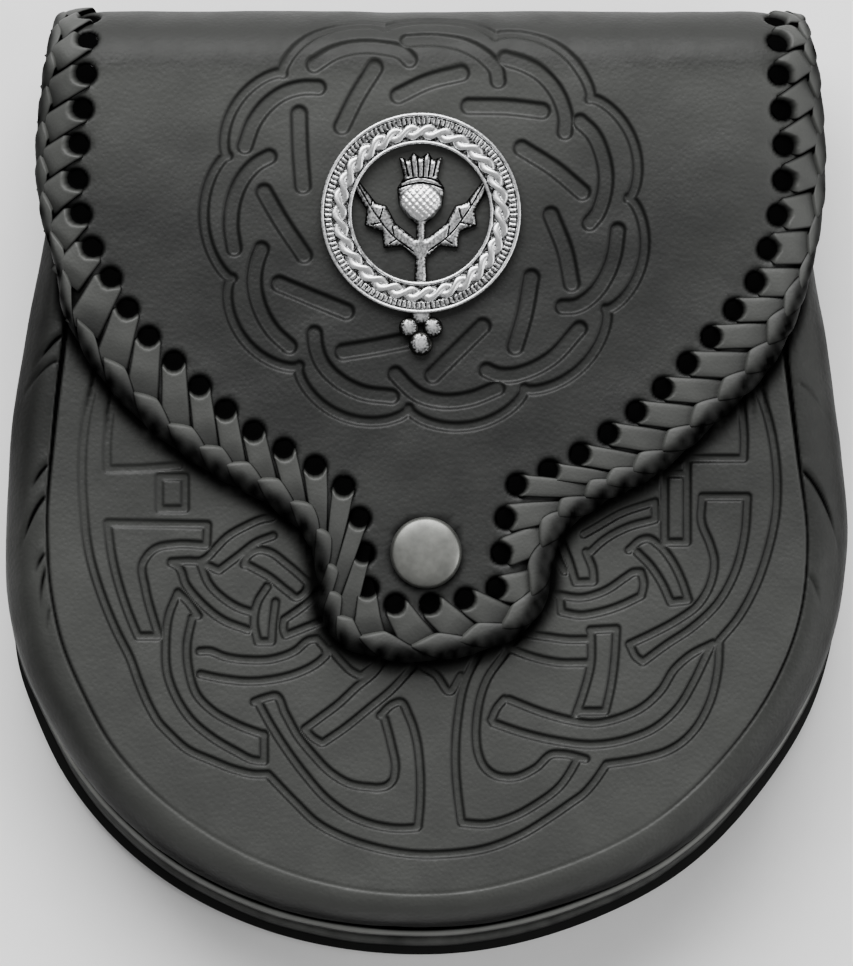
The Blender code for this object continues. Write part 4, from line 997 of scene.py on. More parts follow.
def flap_outline():
    """The flap's cut edge on its pattern, anticlockwise at small even steps, with outward normals."""
    rim, holes = edge_at(np.linspace(0.0, LACED_LENGTH, 1200))
    edge = rim + unit(holes - rim) * RIM_OVERHANG
    tail_v = FOLD_END + (FOLD_Y - TAIL_Y)
    tail = np.array([
        (TAIL_HALF, FOLD_END + TAIL_CORNER), (TAIL_HALF, tail_v - TAIL_CORNER),
        (TAIL_HALF - TAIL_CORNER, tail_v),
    ])
    other = tail[::-1] * (-1, 1)
    loop = np.concatenate([edge, tail, other, edge[:1]])
    run = lengths_along(loop)
    at = np.linspace(0.0, run[-1], int(run[-1] / 0.5))[:-1]
    line = np.column_stack([np.interp(at, run, column) for column in loop.T])
    along = unit(np.roll(line, -1, axis=0) - np.roll(line, 1, axis=0))
    return line, np.column_stack([along[:, 1], -along[:, 0]])


FLAP_OUTLINE, FLAP_NORMALS = flap_outline()


def flap_edge(flat):
    """How far pattern points lie inside the flap's edge and outside its holes, and the nearest edge."""
    k = nearest_of(flat, FLAP_OUTLINE)
    inside = -((flat - FLAP_OUTLINE[k]) * FLAP_NORMALS[k]).sum(axis=1)
    nearest = flat + FLAP_NORMALS[k] * inside[:, None]
    hole = nearest_of(flat, HOLES)
    away = flat - HOLES[hole]
    distance = np.linalg.norm(away, axis=1)
    clear = distance - HOLE_RADIUS
    on_hole = HOLES[hole] + away / np.maximum(distance, 1e-6)[:, None] * HOLE_RADIUS
    return np.minimum(inside, clear), np.where((clear < inside)[:, None], on_hole, nearest)


def round_ring(turns, radii):
    """Pattern points at angles in degrees and radii about the ring's middle."""
    turns = np.radians(turns)
    return np.column_stack([RING_AT[0] + radii * np.cos(turns), RING_AT[1] + radii * np.sin(turns)])


def ring_lines():
    """Pressed lines of the interlaced ring: scallops between cusps, hooked slots and straight slots.

    A scallop's radius is cusp + (crest - cusp) * sin(pi t)^0.62 between its cusps.
    """
    lines = []
    for row, beyond in zip(RING_LOBES, RING_LOBES[1:] + RING_LOBES[:1]):
        t = np.linspace(0.0, 1.0, 240)
        span = (beyond.cusp - row.cusp) % 360
        foot = row.cusp_r + (beyond.cusp_r - row.cusp_r) * t
        radius = foot + (row.crest_r - (row.cusp_r + beyond.cusp_r) / 2) * np.sin(math.pi * t) ** 0.62
        lines.append((SCALLOP_LINE, round_ring(row.cusp + span * t, radius)))
        for groove, chart in ((HOOK_SLOT, row.hook), (BAR_SLOT, row.bar)):
            lines.append((groove, through(round_ring(*np.array(chart, float).T), 0.12)))
    return lines


def make_flap(material):
    """The flap cut and tooled on its flat pattern with its punched holes, then bent over the top."""
    low, step = np.array([-88.0, -42.0]), 0.25
    counts = (int(176 / step), int(200 / step))
    height = pressed(np.array(counts) + 1, low, step, ring_lines())
    x, y = centres(low, step, counts, 1)
    flat = np.column_stack([x.ravel(), y.ravel()])
    near = np.linalg.norm(flat - HOLES[nearest_of(flat, HOLES)], axis=1).reshape(x.shape)
    holed = np.abs(near - HOLE_RADIUS) < 0.9
    x, y = centres(low, step, counts, 2)
    flat = np.column_stack([x.ravel(), y.ravel()])
    inside = flap_edge(flat)[0].reshape(x.shape)
    edged = np.abs(inside) < 1.2
    none = [np.zeros((counts[0] // 2**level, counts[1] // 2**level), bool) for level in range(LEVELS + 1)]
    upper = skin(low, step, [uneven_squares(height, 0.02), holed, edged, none[3]], flap_edge)
    lower = skin(low, step, [none[0], holed, edged, none[3]], flap_edge)
    lattice = upper.at[:, 0], upper.at[:, 1]
    tooled = height[lattice]
    inside = flap_edge(upper.flat)[0]
    swell = 0.16 * waves(*upper.flat.T, 38, 6) + 0.05 * waves(*upper.flat.T, 11, 7)
    from_rim = rim_distance(upper.flat)
    along = upper.flat[:, 1]
    # Painted shade over the fold, dimming its highlight.
    fold_painted_shade = 0.55 * eased(84.5, 89.0, along) + 0.2 * eased(100.0, 108.0, along)
    # Painted shadow in a ring round the snap cap.
    snap_painted_shadow = 1 - eased(SNAP_RADIUS - 0.2, SNAP_RADIUS + 1.0, np.linalg.norm(upper.flat - SNAP_AT, axis=1))
    to_hole = np.linalg.norm(upper.flat - HOLES[nearest_of(upper.flat, HOLES)], axis=1) - HOLE_RADIUS
    swell = swell * eased(0.0, 6.0, inside)
    drawn_in = 0.9 * (1 - eased(0.8, 5.5, from_rim)) + 0.5 * (1 - eased(0.0, 0.9, to_hole))
    # Painted shade with some tool burnish: groove walls (partly burnish), floors a little, a dark ring in and round
    # each hole, the leather near the rim under the lacing, the fold, and round the snap.
    burnish_and_painted_shade = np.maximum.reduce([
        0.8 * wall_share(height, step, 1.0)[lattice], -0.1 * tooled / HOOK_SLOT.depth,
        1 - eased(0.2, 1.1, to_hole), 0.85 * (1 - eased(3.0, 6.2, from_rim)), fold_painted_shade, snap_painted_shadow,
    ])
    # Painted light: brighter towards the fold at the top, with slow random waves of tone.
    wear_and_painted_light = 0.08 + 0.92 * eased(44.0, 92.0, along)
    wear_and_painted_light = wear_and_painted_light + 0.12 * waves(*upper.flat.T, 60, 32)

    def place(flat, w):
        return bent(flat[:, 0], flat[:, 1], w)

    points, faces = sheet_of(upper, lower, place, FLAP_WALL / 2 + tooled + swell - drawn_in, -FLAP_WALL / 2)
    shades = {"dye_and_painted_shade": padded(burnish_and_painted_shade, len(points)), "wear_and_painted_light": padded(wear_and_painted_light, len(points))}
    return piece("flap_leather", points, faces, material, ["flap"], shades)


def rim_distance(flat):
    """How far pattern points lie inside the flap's cut edge."""
    k = nearest_of(flat, FLAP_OUTLINE)
    return -((flat - FLAP_OUTLINE[k]) * FLAP_NORMALS[k]).sum(axis=1)


# ---------------------------------------------------------------- the lacing

STITCH_ANGLE = math.radians(46)  # between a stitch and the edge that it runs to,
SIDE_ANGLE = math.radians(10)  # and this much more down the flap's sides
STITCH_HALF = 4.4  # where there is room
HOLE_HALF = 2.1  # half width of the thong where it fills its hole
STITCH_FILL = 0.487  # half of a stitch is at most this share of the spacing
STITCH_END = 3.1  # a stitch ends this far inside the rim's outer line, under the braid
IN_HOLE = 1.9  # a stitch starts this far behind its hole's centre, down in the hole,
LIP_END = 5.4  # and lies on the leather from here
HOLE_FIT = 0.08  # room between a stitch's rows and its hole's rim
BRAID_MIDDLE = 3.25  # the braid's middle lies this far inside the rim's outer line
BRAID_HALF = 3.25
BRAID_HIGH = 2.9  # how far it stands out from the leather's middle on each face
BRAID_SLIM = 0.48  # down the flap's sides the braid is narrower by this share
BRAID_PITCH = 8.2  # spacing along the rim that the next lengths belong to
LIP_ALONG = 4.8  # a strand's start slants this far along the edge,
LIP_TURN = math.radians(75)  # and this far round it
STRAND_RUN = 17.0
STRAND_TURN = math.radians(12.7)  # turn round the edge for each mm along it
STRAND_TILT = 0.45  # a strand's near edge lies this much over the strand before it
THONG_SIDES = 16

Lacing = namedtuple("Lacing", "where holes slim lean")


def lacing_plan():
    """Chord lengths and places of the holes, how slim the braid is there, and how far stitches lean."""
    where = hole_lengths(np.arange(HOLE_COUNT))
    rim, holes = edge_at(where)
    beside = eased(60.0, 70.0, np.abs(holes[:, 0]))
    slim = 1 - BRAID_SLIM * beside
    hem = np.linalg.norm(holes - rim, axis=1) - STITCH_END * slim
    return Lacing(where, holes, slim, hem / np.tan(STITCH_ANGLE + SIDE_ANGLE * beside))


def laced(where, inwards):
    """Pattern points inwards from the rim's outer line at a chord length."""
    rim, holes = edge_at(where)
    return rim + unit(holes - rim) * inwards[..., None]


def thong_section():
    """The thong's cross section, a soft oblong, and how far each point is its side.

    A point at angle a lies at cos a across and sgn(sin a) (1 - |cos a|^5.3)^0.35 up.
    """
    a = (np.arange(THONG_SIDES) + 0.5) * 2 * math.pi / THONG_SIDES
    across = np.cos(a)
    up = np.sign(np.sin(a)) * (1 - np.abs(across) ** 5.3) ** 0.35
    return across, up, eased(0.86, 0.98, np.abs(across))


def make_stitches(face):
    """Flat stitches on one face: each fills its hole, rises over its lip, and dives under the braid."""
    across, up, side = thong_section()
    plan = lacing_plan()
    end = laced(plan.where + plan.lean, STITCH_END * plan.slim)
    along = unit(end - plan.holes)
    start = plan.holes - along * IN_HOLE
    length = np.linalg.norm(end - start, axis=1)[:, None]
    on_lip = np.concatenate([[0.0], np.linspace(1.5, LIP_END, 14)])
    u = np.linspace(0.0, 1.0, 8)[1:]
    first = np.broadcast_to(on_lip, (HOLE_COUNT, len(on_lip)))
    travel = np.concatenate([first, LIP_END + (length - LIP_END) * u], axis=1)
    share = np.clip((travel - LIP_END) / (length - LIP_END), 0.0, 1.0)
    line = start[:, None] + along[:, None] * travel[..., None]
    beside = np.stack([-along[:, 1], along[:, 0]], axis=-1)
    spacing = np.abs(np.gradient(line, axis=0) @ beside[..., None])[..., 0]
    half = np.minimum(HOLE_HALF + (STITCH_HALF - HOLE_HALF) * eased(2.4, 6.0, travel), STITCH_FILL * spacing)
    reach = np.minimum(half[..., None] * np.abs(across), HOLE_RADIUS - HOLE_FIT)
    bow = np.sqrt(HOLE_RADIUS**2 - reach**2) - HOLE_RADIUS
    bowed = (eased(0.0, 1.5, travel) * (1 - eased(LIP_END, LIP_END + 2.0, travel)))[..., None]
    from_lip = travel[..., None] - IN_HOLE - HOLE_RADIUS - (1 - bowed) * bow
    risen = eased(-0.8, 0.5, from_lip)
    bump = 0.12 * np.exp(-(((from_lip - 0.9) / 0.8) ** 2))
    deep, level = 0.05, FLAP_WALL / 2 + THONG / 2
    w = deep + (level - deep) * risen + bump - 0.95 * eased(0.25, 1.0, share)[..., None]
    flat = line[:, :, None] + beside[:, None, None] * (half[..., None] * across)[..., None]
    flat = flat + along[:, None, None] * (bowed * bow)[..., None]
    points = bent(flat[..., 0], flat[..., 1], face * (w + THONG / 2 * up))
    # Painted shade down in the hole and where the stitch dives under the braid, with its sides darker as dyed cut edges
    # and as painted shade; painted light brighter at its start, darker towards its end.
    dark = np.maximum(1 - eased(-0.5, 0.3, from_lip), 0.7 * eased(0.75, 1.0, share)[..., None])
    burnish_and_painted_shade = np.maximum(side, dark)
    wear_and_painted_light = np.broadcast_to((0.95 - 0.6 * eased(0.0, 1.0, share))[..., None], burnish_and_painted_shade.shape)
    if face < 0:
        points, burnish_and_painted_shade = points[:, :, ::-1], burnish_and_painted_shade[:, :, ::-1]
    return points, burnish_and_painted_shade, wear_and_painted_light


def make_strands():
    """The braid: each strand starts at a slanted lip over a stitch's end and winds on round the edge.

    At t along the edge and c across the strand, its turn round the edge is 90 deg - LIP_TURN (1+c)/2
    + STRAND_TURN t. There it lies BRAID_HALF cos(turn) and BRAID_HIGH sin(turn) from the braid's
    middle, and flat on the leather while its turn is under 90 degrees.
    """
    across, up, side = thong_section()
    plan = lacing_plan()
    scale = (np.gradient(plan.where) / BRAID_PITCH)[:, None, None]
    slim = plan.slim[:, None, None]
    t = STRAND_RUN * np.linspace(0.0, 1.0, 27) ** 1.5
    share = (1 + across) / 2
    where = (plan.where + plan.lean - 3.0)[:, None, None] + scale * (t[:, None] + LIP_ALONG * share)
    turn = math.pi / 2 - LIP_TURN * share + STRAND_TURN * t[:, None]
    lip = 1 - np.sqrt(1 - (1 - np.clip(t / 0.8, 0.0, 1.0)) ** 2) + 1 - eased(0.0, 2.0, STRAND_RUN - t)
    tilt = STRAND_TILT * eased(0.5, 4.0, t)
    lift = THONG / 2 * up - tilt[:, None] * across - 1.5 * lip[:, None]
    level = FLAP_WALL / 2 + THONG / 2 + 0.1
    high = (BRAID_HIGH - THONG / 2) * (0.5 + 0.5 * slim)
    inwards = slim * (BRAID_MIDDLE + (BRAID_HALF - THONG / 2 + lift * (turn > math.pi / 2)) * np.cos(turn))
    round_it = (high + lift) * np.sin(turn)
    lying = np.sign(np.sin(turn)) * (level + (high - level) * np.abs(np.sin(turn)) + lift)
    out = np.where(np.cos(turn) > 0, lying, round_it)
    flat = laced(where, inwards)
    points = bent(flat[..., 0], flat[..., 1], out)
    # Painted shade on the braid's outer side (mottled at random), where a strand runs under the next one, and on its
    # sides; painted highlight at each strand's lip, fading along it.
    mottled = 0.2 * waves(points[..., 0], points[..., 1], 3.0, 35)
    far_side_painted_shade = (0.85 + mottled) * eased(math.radians(62), math.radians(125), turn)
    covered_painted_shade = 0.8 * eased(5.0, 8.5, t)[:, None]
    burnish_and_painted_shade = np.clip(np.maximum(np.maximum(side, covered_painted_shade), far_side_painted_shade), 0.0, 1.0)
    wear_and_painted_light = np.broadcast_to((1.0 - 0.8 * eased(0.4, 5.0, t))[:, None], burnish_and_painted_shade.shape)
    return points, burnish_and_painted_shade, wear_and_painted_light


def make_lacing(material):
    """Flat thong over the flap's edge: a stitch from each hole on both faces, and a braid of strands."""
    runs = [make_stitches(1.0), make_stitches(-1.0), make_strands()]
    points, faces = gathered([tubes(points) for points, _, _ in runs])
    burnish_and_painted_shade = np.concatenate([values.ravel() for _, values, _ in runs])
    wear_and_painted_light = np.concatenate([values.ravel() for _, _, values in runs])
    wear_and_painted_light = wear_and_painted_light + 0.12 * waves(points[:, 0], points[:, 1], 14, 33)
    shades = {"dye_and_painted_shade": burnish_and_painted_shade, "wear_and_painted_light": np.clip(wear_and_painted_light, 0.0, 1.0)}
    return piece("thong_lacing", points, faces, material, ["flap_lacing"], shades)


# ---------------------------------------------------------------- strap loops


def make_loop(name, x, material):
    """A strap loop: a strip's side outline swept across its width, its cut edges rubbed round."""
    low, high, wall, foot, corner = 30.0, 56.0, 2.2, 8.0, 1.2
    under = [(low - wall - foot, None), (low - wall, None), (low - wall, corner), (low - wall + corner, 0.0),
             (high + wall - corner, 0.0), (high + wall, corner), (high + wall, None), (high + wall + foot, None)]
    over = [(high + wall + foot, 0.0), (high, 0.0), (high, None), (low, None), (low, 0.0),
            (low - wall - foot, 0.0)]
    outline = [(y, back_z(y) - GAP - wall if z is None else z) for y, z in under]
    outline += [(y, wall if z is None else back_z(y) - GAP) for y, z in over]
    outline = np.array(outline)
    half = 11.0
    across = np.array([-half, -half + 0.15, -half + 0.5, half - 0.5, half - 0.15, half])
    centre = outline.mean(axis=0)
    ahead, behind = np.roll(outline, -1, axis=0), np.roll(outline, 1, axis=0)
    inward = unit(unit(ahead - outline) + unit(behind - outline) + 1e-9)
    along = unit(ahead - behind)
    normal = np.column_stack([along[:, 1], -along[:, 0]])
    inset = np.array([0.4, 0.1, 0.0, 0.0, 0.1, 0.4])
    section = outline[None] - normal[None] * inset[:, None, None]
    points = np.dstack([np.broadcast_to((x + across)[:, None], section.shape[:2]), section])
    points, faces = tubes(points[None])
    piece(name + "_leather", points, turned_over(faces), material, [name])


# ---------------------------------------------------------------- turned metal


def lathe(profile, steps, centre):
    """A closed solid turned about Z: (r cos a, r sin a, z) for a profile from the axis to the axis."""
    profile = np.array(profile, float)
    turn = np.arange(steps) * 2 * math.pi / steps
    ring = np.dstack([
        centre[0] + profile[:, :1] * np.cos(turn), centre[1] + profile[:, :1] * np.sin(turn),
        np.broadcast_to(profile[:, 1:], (len(profile), steps)),
    ])
    return tubes(ring[None])


def make_snap(cap_metal, stud_metal):
    """The snap: a low domed cap with a rolled edge, its shank and socket, and the stud below."""
    over = FLAP_Z + FLAP_WALL / 2 + GAP
    under = FLAP_Z - FLAP_WALL / 2 - GAP
    r, h = SNAP_RADIUS, 3.0
    bulge = np.radians(np.linspace(4, 78, 14))
    dome = [(r * 0.93 * math.sin(t) / math.sin(bulge[-1]), over + h - 1.15 * (1 - math.cos(t))) for t in bulge]
    rolled = [(r - 0.9 + 0.9 * math.cos(t), over + 1.0 + 1.0 * math.sin(t)) for t in np.radians([50, 25, 0, -30, -60, -90])]
    profile = [*dome, *rolled, (2.0, over), (2.0, under), (5.2, under), (5.2, under - 0.9), (1.3, under - 0.9), (1.3, under + 1.0)]
    points, faces = lathe(profile, 96, SNAP_AT)
    piece("snap_cap_plate", points, turned_over(faces), cap_metal, ["snap_cap"])
    head, inside = under + 0.7, FRONT_Z - PANEL_WALL - GAP
    profile = [(0.6, head), (1.0, head - 0.3), (1.0, FRONT_Z), (1.6, FRONT_Z - 0.2), (1.6, inside), (4.6, inside), (4.6, inside - 0.9)]
    points, faces = lathe(profile, 48, SNAP_AT)
    piece("snap_stud_steel", points, turned_over(faces), stud_metal, ["snap_stud"])


# ---------------------------------------------------------------- the badge

RING_OUTER = 21.1
RING_INNER = 14.4
RING_LIP = 0.9
RING_THICK = 2.1
RING_SUNK = 0.6
MOTIF_THICK = 1.2
TWISTS = 15  # turns of the two-strand twist round the ring
HATCHES = 120  # fine radial ridges outside the twist

# The right half of the badge's thistle, from the tuft's middle down to the stem's foot.
THISTLE_HALF = (
    (0.0, 11.6), (1.6, 12.8), (2.6, 11.2), (4.6, 11.8), (3.6, 7.4), (5.0, 5.2), (4.6, 1.6), (2.4, -1.2),
    (1.0, -2.4), (1.0, -5.4), (5.2, -2.2), (7.2, 1.6), (9.4, 2.2), (13.6, 7.6), (14.2, 5.2),
    (11.4, 0.6), (11.8, -2.6), (8.2, -4.0), (7.8, -7.4), (4.0, -7.0), (1.2, -9.4), (1.4, -15.0),
)
# Lines cut into it: tuft, collar below the tuft, and veins of the right leaf. Each is mirrored.
TUFT_CUT = Groove(0.16, 0.22, 0.45)
VEIN_CUT = Groove(0.14, 0.20, 0.40)
TUFT_LINES = (((0.7, 12.0), (0.5, 7.8)), ((2.1, 11.6), (1.6, 7.8)), ((3.4, 11.2), (2.6, 7.7)))
COLLAR_LINES = (((-4.2, 6.4), (-2.0, 7.2), (0, 7.5), (2.0, 7.2), (4.2, 6.4)),
                ((-4.7, 5.2), (-2.0, 6.1), (0, 6.4), (2.0, 6.1), (4.7, 5.2)))
LEAF_VEINS = (((1.6, -8.0), (6.0, -4.6), (9.6, 0.0), (13.2, 6.0)), ((5.0, -5.4), (6.6, -6.4)), ((8.2, -2.0), (10.4, -2.4)),
              ((5.6, -4.8), (6.0, -2.8)), ((8.6, -1.2), (8.0, 0.9)), ((10.4, 1.6), (10.2, 2.8)))
DROP_LOBES = ((0.0, -21.4, 2.2), (-2.5, -24.0, 2.1), (2.5, -24.0, 2.1), (0.0, -27.4, 2.5))


def ring_relief(turn, radius):
    """Height of the ring's face: two raised lips, a rope of two strands, and fine ridges outside it.

    A strand's middle runs at 17.1 + 1.0 cos(n a + phase), and it rises as sqrt(1 - (d / 0.75)^2),
    higher by 0.25 sin(n a + phase) where it passes over the other.
    """
    lips = np.maximum(
        1 - ((radius - RING_INNER - RING_LIP / 2) / (RING_LIP / 2)) ** 2,
        1 - ((radius - RING_OUTER + RING_LIP / 2) / (RING_LIP / 2)) ** 2)
    high = (RING_THICK - RING_SUNK) + RING_SUNK * np.sqrt(np.clip(lips, 0.0, 1.0))
    hatch = 0.32 * np.abs(np.sin(HATCHES / 2 * turn)) ** 0.7 * eased(18.65, 18.8, radius) * (1 - eased(20.0, 20.15, radius))
    high = high + hatch
    for phase in (0.0, math.pi):
        run = TWISTS * turn + phase
        away = (radius - 17.05 - 0.85 * np.cos(run)) / 0.8
        strand = 0.45 + 0.45 * np.sqrt(np.clip(1 - away**2, 0.0, 1.0)) + 0.2 * np.sin(run)
        high = np.maximum(high, np.where(np.abs(away) < 1, RING_THICK - RING_SUNK + strand - 0.2, 0.0))
    return high


def make_ring():
    """The badge's ring: a grid of angles and radii with ring_relief above, and a plain side and back."""
    turn = np.arange(840) * 2 * math.pi / 840
    radius = np.linspace(RING_INNER + 0.02, RING_OUTER - 0.02, 50)
    face = ring_relief(turn[:, None], radius[None, :])
    radii = np.concatenate([[RING_INNER], radius, [RING_OUTER]])
    high = np.column_stack([0 * turn, face, 0 * turn])
    points = np.dstack([
        BADGE_AT[0] + radii * np.cos(turn)[:, None], BADGE_AT[1] + radii * np.sin(turn)[:, None], BADGE_Z + high])
    loops, totals = grid_faces(*high.shape, round_rows=True, round_columns=True)
    return points.reshape(-1, 3), (turned_over((loops, totals))), high.ravel() / 2.3


def make_thistle():
    """The thistle: a skin cut to its outline, rising as a quarter round from its edge, with cut lines."""
    step = 0.11
    low = np.array([-15.4, -16.2])
    counts = (int(round(30.8 / step / 8)) * 8, int(round(29.92 / step / 8)) * 8)
    right = np.array(THISTLE_HALF)
    loop = np.concatenate([right[::-1], right[1:] * (-1, 1)])
    closed = np.concatenate([loop, loop[:1]])
    run = np.concatenate([[0.0], np.cumsum(np.linalg.norm(np.diff(closed, axis=0), axis=1))])
    at = np.linspace(0.0, run[-1], int(run[-1] / 0.06))[:-1]
    line = np.column_stack([np.interp(at, run, column) for column in closed.T])
    for _ in range(3):
        line = (np.roll(line, 2, axis=0) + line * 2 + np.roll(line, -2, axis=0)) / 4
    along = unit(np.roll(line, -1, axis=0) - np.roll(line, 1, axis=0))
    normals = np.column_stack([along[:, 1], -along[:, 0]])

    def edge(flat):
        k = nearest_of(flat, line)
        away = line[k] - flat
        inside = (away * normals[k]).sum(axis=1)
        distance = np.linalg.norm(away, axis=1) * np.sign(inside)
        return distance + SNAP * 0.7, line[k]

    lines = [(TUFT_CUT, through(np.array(row) * (side, 1), 0.05)) for row in TUFT_LINES for side in (-1, 1)]
    lines += [(TUFT_CUT, through(row, 0.05)) for row in COLLAR_LINES]
    lines += [(VEIN_CUT, through(np.array(row) * (side, 1), 0.05)) for row in LEAF_VEINS for side in (-1, 1)]
    height = pressed(np.array(counts) + 1, low, step, lines)
    lattice = np.stack(np.meshgrid(*[low[a] + step * np.arange(counts[a] + 1) for a in (0, 1)], indexing="ij"), axis=-1)
    inside = edge(lattice.reshape(-1, 2))[0].reshape(lattice.shape[:2])
    rise = 1 - (1 - np.clip(inside / 1.3, 0.0, 1.0)) ** 2
    x, y = lattice[..., 0], lattice[..., 1]
    ball = np.sqrt(np.clip(1 - (x / 4.5) ** 2 - ((y - 2.2) / 3.9) ** 2, 0.0, 1.0))
    scales = 0.22 * np.abs(np.sin((x + y) * 2.0)) * np.abs(np.sin((x - y) * 2.0)) * (ball > 0.12)
    height = height + 0.75 * rise + 1.5 * ball + scales
    fine = [uneven_squares(height, 0.02) & (inside[:-1, :-1] > -0.3)]
    fine += [np.zeros((counts[0] // 2**level, counts[1] // 2**level), bool) for level in range(1, LEVELS + 1)]
    fine[2] |= True
    sheet = skin(low, step, fine, edge)
    tall = height[sheet.at[:, 0], sheet.at[:, 1]]

    def place(flat, w):
        return np.column_stack([flat + BADGE_AT, BADGE_Z + 0.1 + w])

    points, faces = sheet_of(sheet, sheet, place, 0.45 + np.maximum(tall, -0.2), np.zeros(1)[0] * np.ones(1))
    shade = np.full(len(points), 0.35)
    shade[:len(tall)] = np.clip(0.35 + tall / 1.6, 0.0, 1.0)
    return points, faces, shade


def make_badge(material):
    """Cast badge: ring, thistle, a drop of domed lobes, and two posts through the leather."""
    ring = make_ring()
    thistle = make_thistle()
    parts = [ring[:2], thistle[:2]]
    shades = [ring[2], thistle[2]]
    for number, (x, y, radius) in enumerate(DROP_LOBES):
        top = BADGE_Z + 1.5 + 0.12 * number
        round_ = np.radians(np.linspace(4, 90, 9))
        profile = [(radius * math.sin(t), top - 0.75 * (1 - math.cos(t))) for t in round_] + [(radius, BADGE_Z + 0.1), (0.3, BADGE_Z + 0.1)]
        points, faces = lathe(profile, 36, (BADGE_AT[0] + x, BADGE_AT[1] + y))
        parts.append((points, turned_over(faces)))
        shades.append(np.repeat(np.clip([1.0 - 0.09 * i for i in range(9)] + [0.1, 0.1], 0, 1), 36))
    for side in (-1, 1):
        foot = BADGE_Z - GAP - FLAP_WALL - 1.2
        points, faces = lathe([(0.7, BADGE_Z + 0.8), (1.1, BADGE_Z + 0.8), (1.1, foot), (0.7, foot)], 16, (BADGE_AT[0] + side * 17.6, BADGE_AT[1]))
        parts.append((points, turned_over(faces)))
        shades.append(np.zeros(len(points)))
    points, faces = gathered(parts)
    piece("cast_badge", points, faces, material, ["badge"], {"raised": np.concatenate(shades)})


# ---------------------------------------------------------------- materials


def add(tree, kind, inputs=None, **settings):
    """Adds a node, sets its properties, and fills its inputs with values or links from sockets."""
    made = tree.nodes.new(kind)
    for key, value in settings.items():
        setattr(made, key, value)
    for key, value in (inputs or {}).items():
        if isinstance(value, bpy.types.NodeSocket):
            tree.links.new(value, made.inputs[key])
        else:
            made.inputs[key].default_value = value
    return made


def linear(code):
    """An sRGB hex colour as linear RGBA: ((c + 0.055) / 1.055)^2.4, or c / 12.92 when dark."""
    parts = [int(code[i:i + 2], 16) / 255 for i in (1, 3, 5)]
    return (*[((c + 0.055) / 1.055) ** 2.4 if c > 0.04045 else c / 12.92 for c in parts], 1.0)


def surface(name):
    """A new material with its node tree and shader."""
    made = bpy.data.materials.new(name)
    made.use_nodes = True
    return made, made.node_tree, made.node_tree.nodes["Principled BSDF"]


MIX_FACTOR, MIX_FIRST, MIX_SECOND, MIX_RESULT = 0, 6, 7, 2  # a Mix node's sockets for colours


def vegetable_tanned_leather(name, dark, light, pore, grain_depth, rough):
    """Dyed vegetable-tanned leather with a waxed finish.

    Pores about `pore` mm apart give the eye a fine pebble, and slow cloudiness in colour and gloss shows
    where the wax lies thicker. One point attribute mixes in painted light and wear towards the light colour,
    another painted shade and dark dye towards near black, where the specular level falls to nothing.
    """
    made, tree, shader = surface(name)
    place = add(tree, "ShaderNodeTexCoord").outputs["Object"]
    wear_and_painted_light = add(tree, "ShaderNodeAttribute", attribute_name="wear_and_painted_light").outputs["Fac"]
    dye_and_painted_shade = add(tree, "ShaderNodeAttribute", attribute_name="dye_and_painted_shade").outputs["Fac"]
    pores = add(tree, "ShaderNodeTexVoronoi", {"Vector": place, "Scale": 1 / (pore * MM)}, feature="SMOOTH_F1")
    creases = add(tree, "ShaderNodeTexNoise", {
        "Vector": place, "Scale": 1 / (2.6 * pore * MM), "Detail": 5.0, "Roughness": 0.62})
    clouds = add(tree, "ShaderNodeTexNoise", {
        "Vector": place, "Scale": 1 / (9 * MM), "Detail": 6.0, "Roughness": 0.6})
    cloudy = add(tree, "ShaderNodeMapRange", {
        "Value": clouds.outputs["Fac"], "From Min": 0.3, "From Max": 0.7, "To Min": -0.12, "To Max": 0.22})
    wear_and_highlight = add(tree, "ShaderNodeMath", {0: wear_and_painted_light, 1: cloudy.outputs["Result"]}, operation="ADD", use_clamp=True)
    tone = add(tree, "ShaderNodeMix", {
        MIX_FACTOR: wear_and_highlight.outputs[0], MIX_FIRST: linear(dark), MIX_SECOND: linear(light)}, data_type="RGBA")
    # Painted shade and dark dye: towards near black.
    dyed_and_shaded = add(tree, "ShaderNodeMix", {
        MIX_FACTOR: dye_and_painted_shade, MIX_FIRST: tone.outputs[MIX_RESULT], MIX_SECOND: linear("#040404")},
        data_type="RGBA")
    tree.links.new(dyed_and_shaded.outputs[MIX_RESULT], shader.inputs["Base Color"])
    gloss = add(tree, "ShaderNodeMapRange", {
        "Value": clouds.outputs["Fac"], "From Min": 0.3, "From Max": 0.7, "To Min": rough + 0.06, "To Max": rough - 0.05})
    tree.links.new(gloss.outputs["Result"], shader.inputs["Roughness"])
    # Painted shade also takes the specular reflection away.
    wax_and_painted_shade = add(tree, "ShaderNodeMapRange", {"Value": dye_and_painted_shade, "To Min": LEATHER_WAX, "To Max": 0.0})
    tree.links.new(wax_and_painted_shade.outputs["Result"], shader.inputs["Specular IOR Level"])
    grain = add(tree, "ShaderNodeMath", {0: pores.outputs["Distance"], 1: creases.outputs["Fac"]}, operation="ADD")
    bump = add(tree, "ShaderNodeBump", {"Height": grain.outputs[0], "Strength": 0.6, "Distance": grain_depth * MM})
    tree.links.new(bump.outputs["Normal"], shader.inputs["Normal"])
    return made


LEATHER_WAX = 0.34  # the shader's specular level: dull wax reflects less than a bare gloss


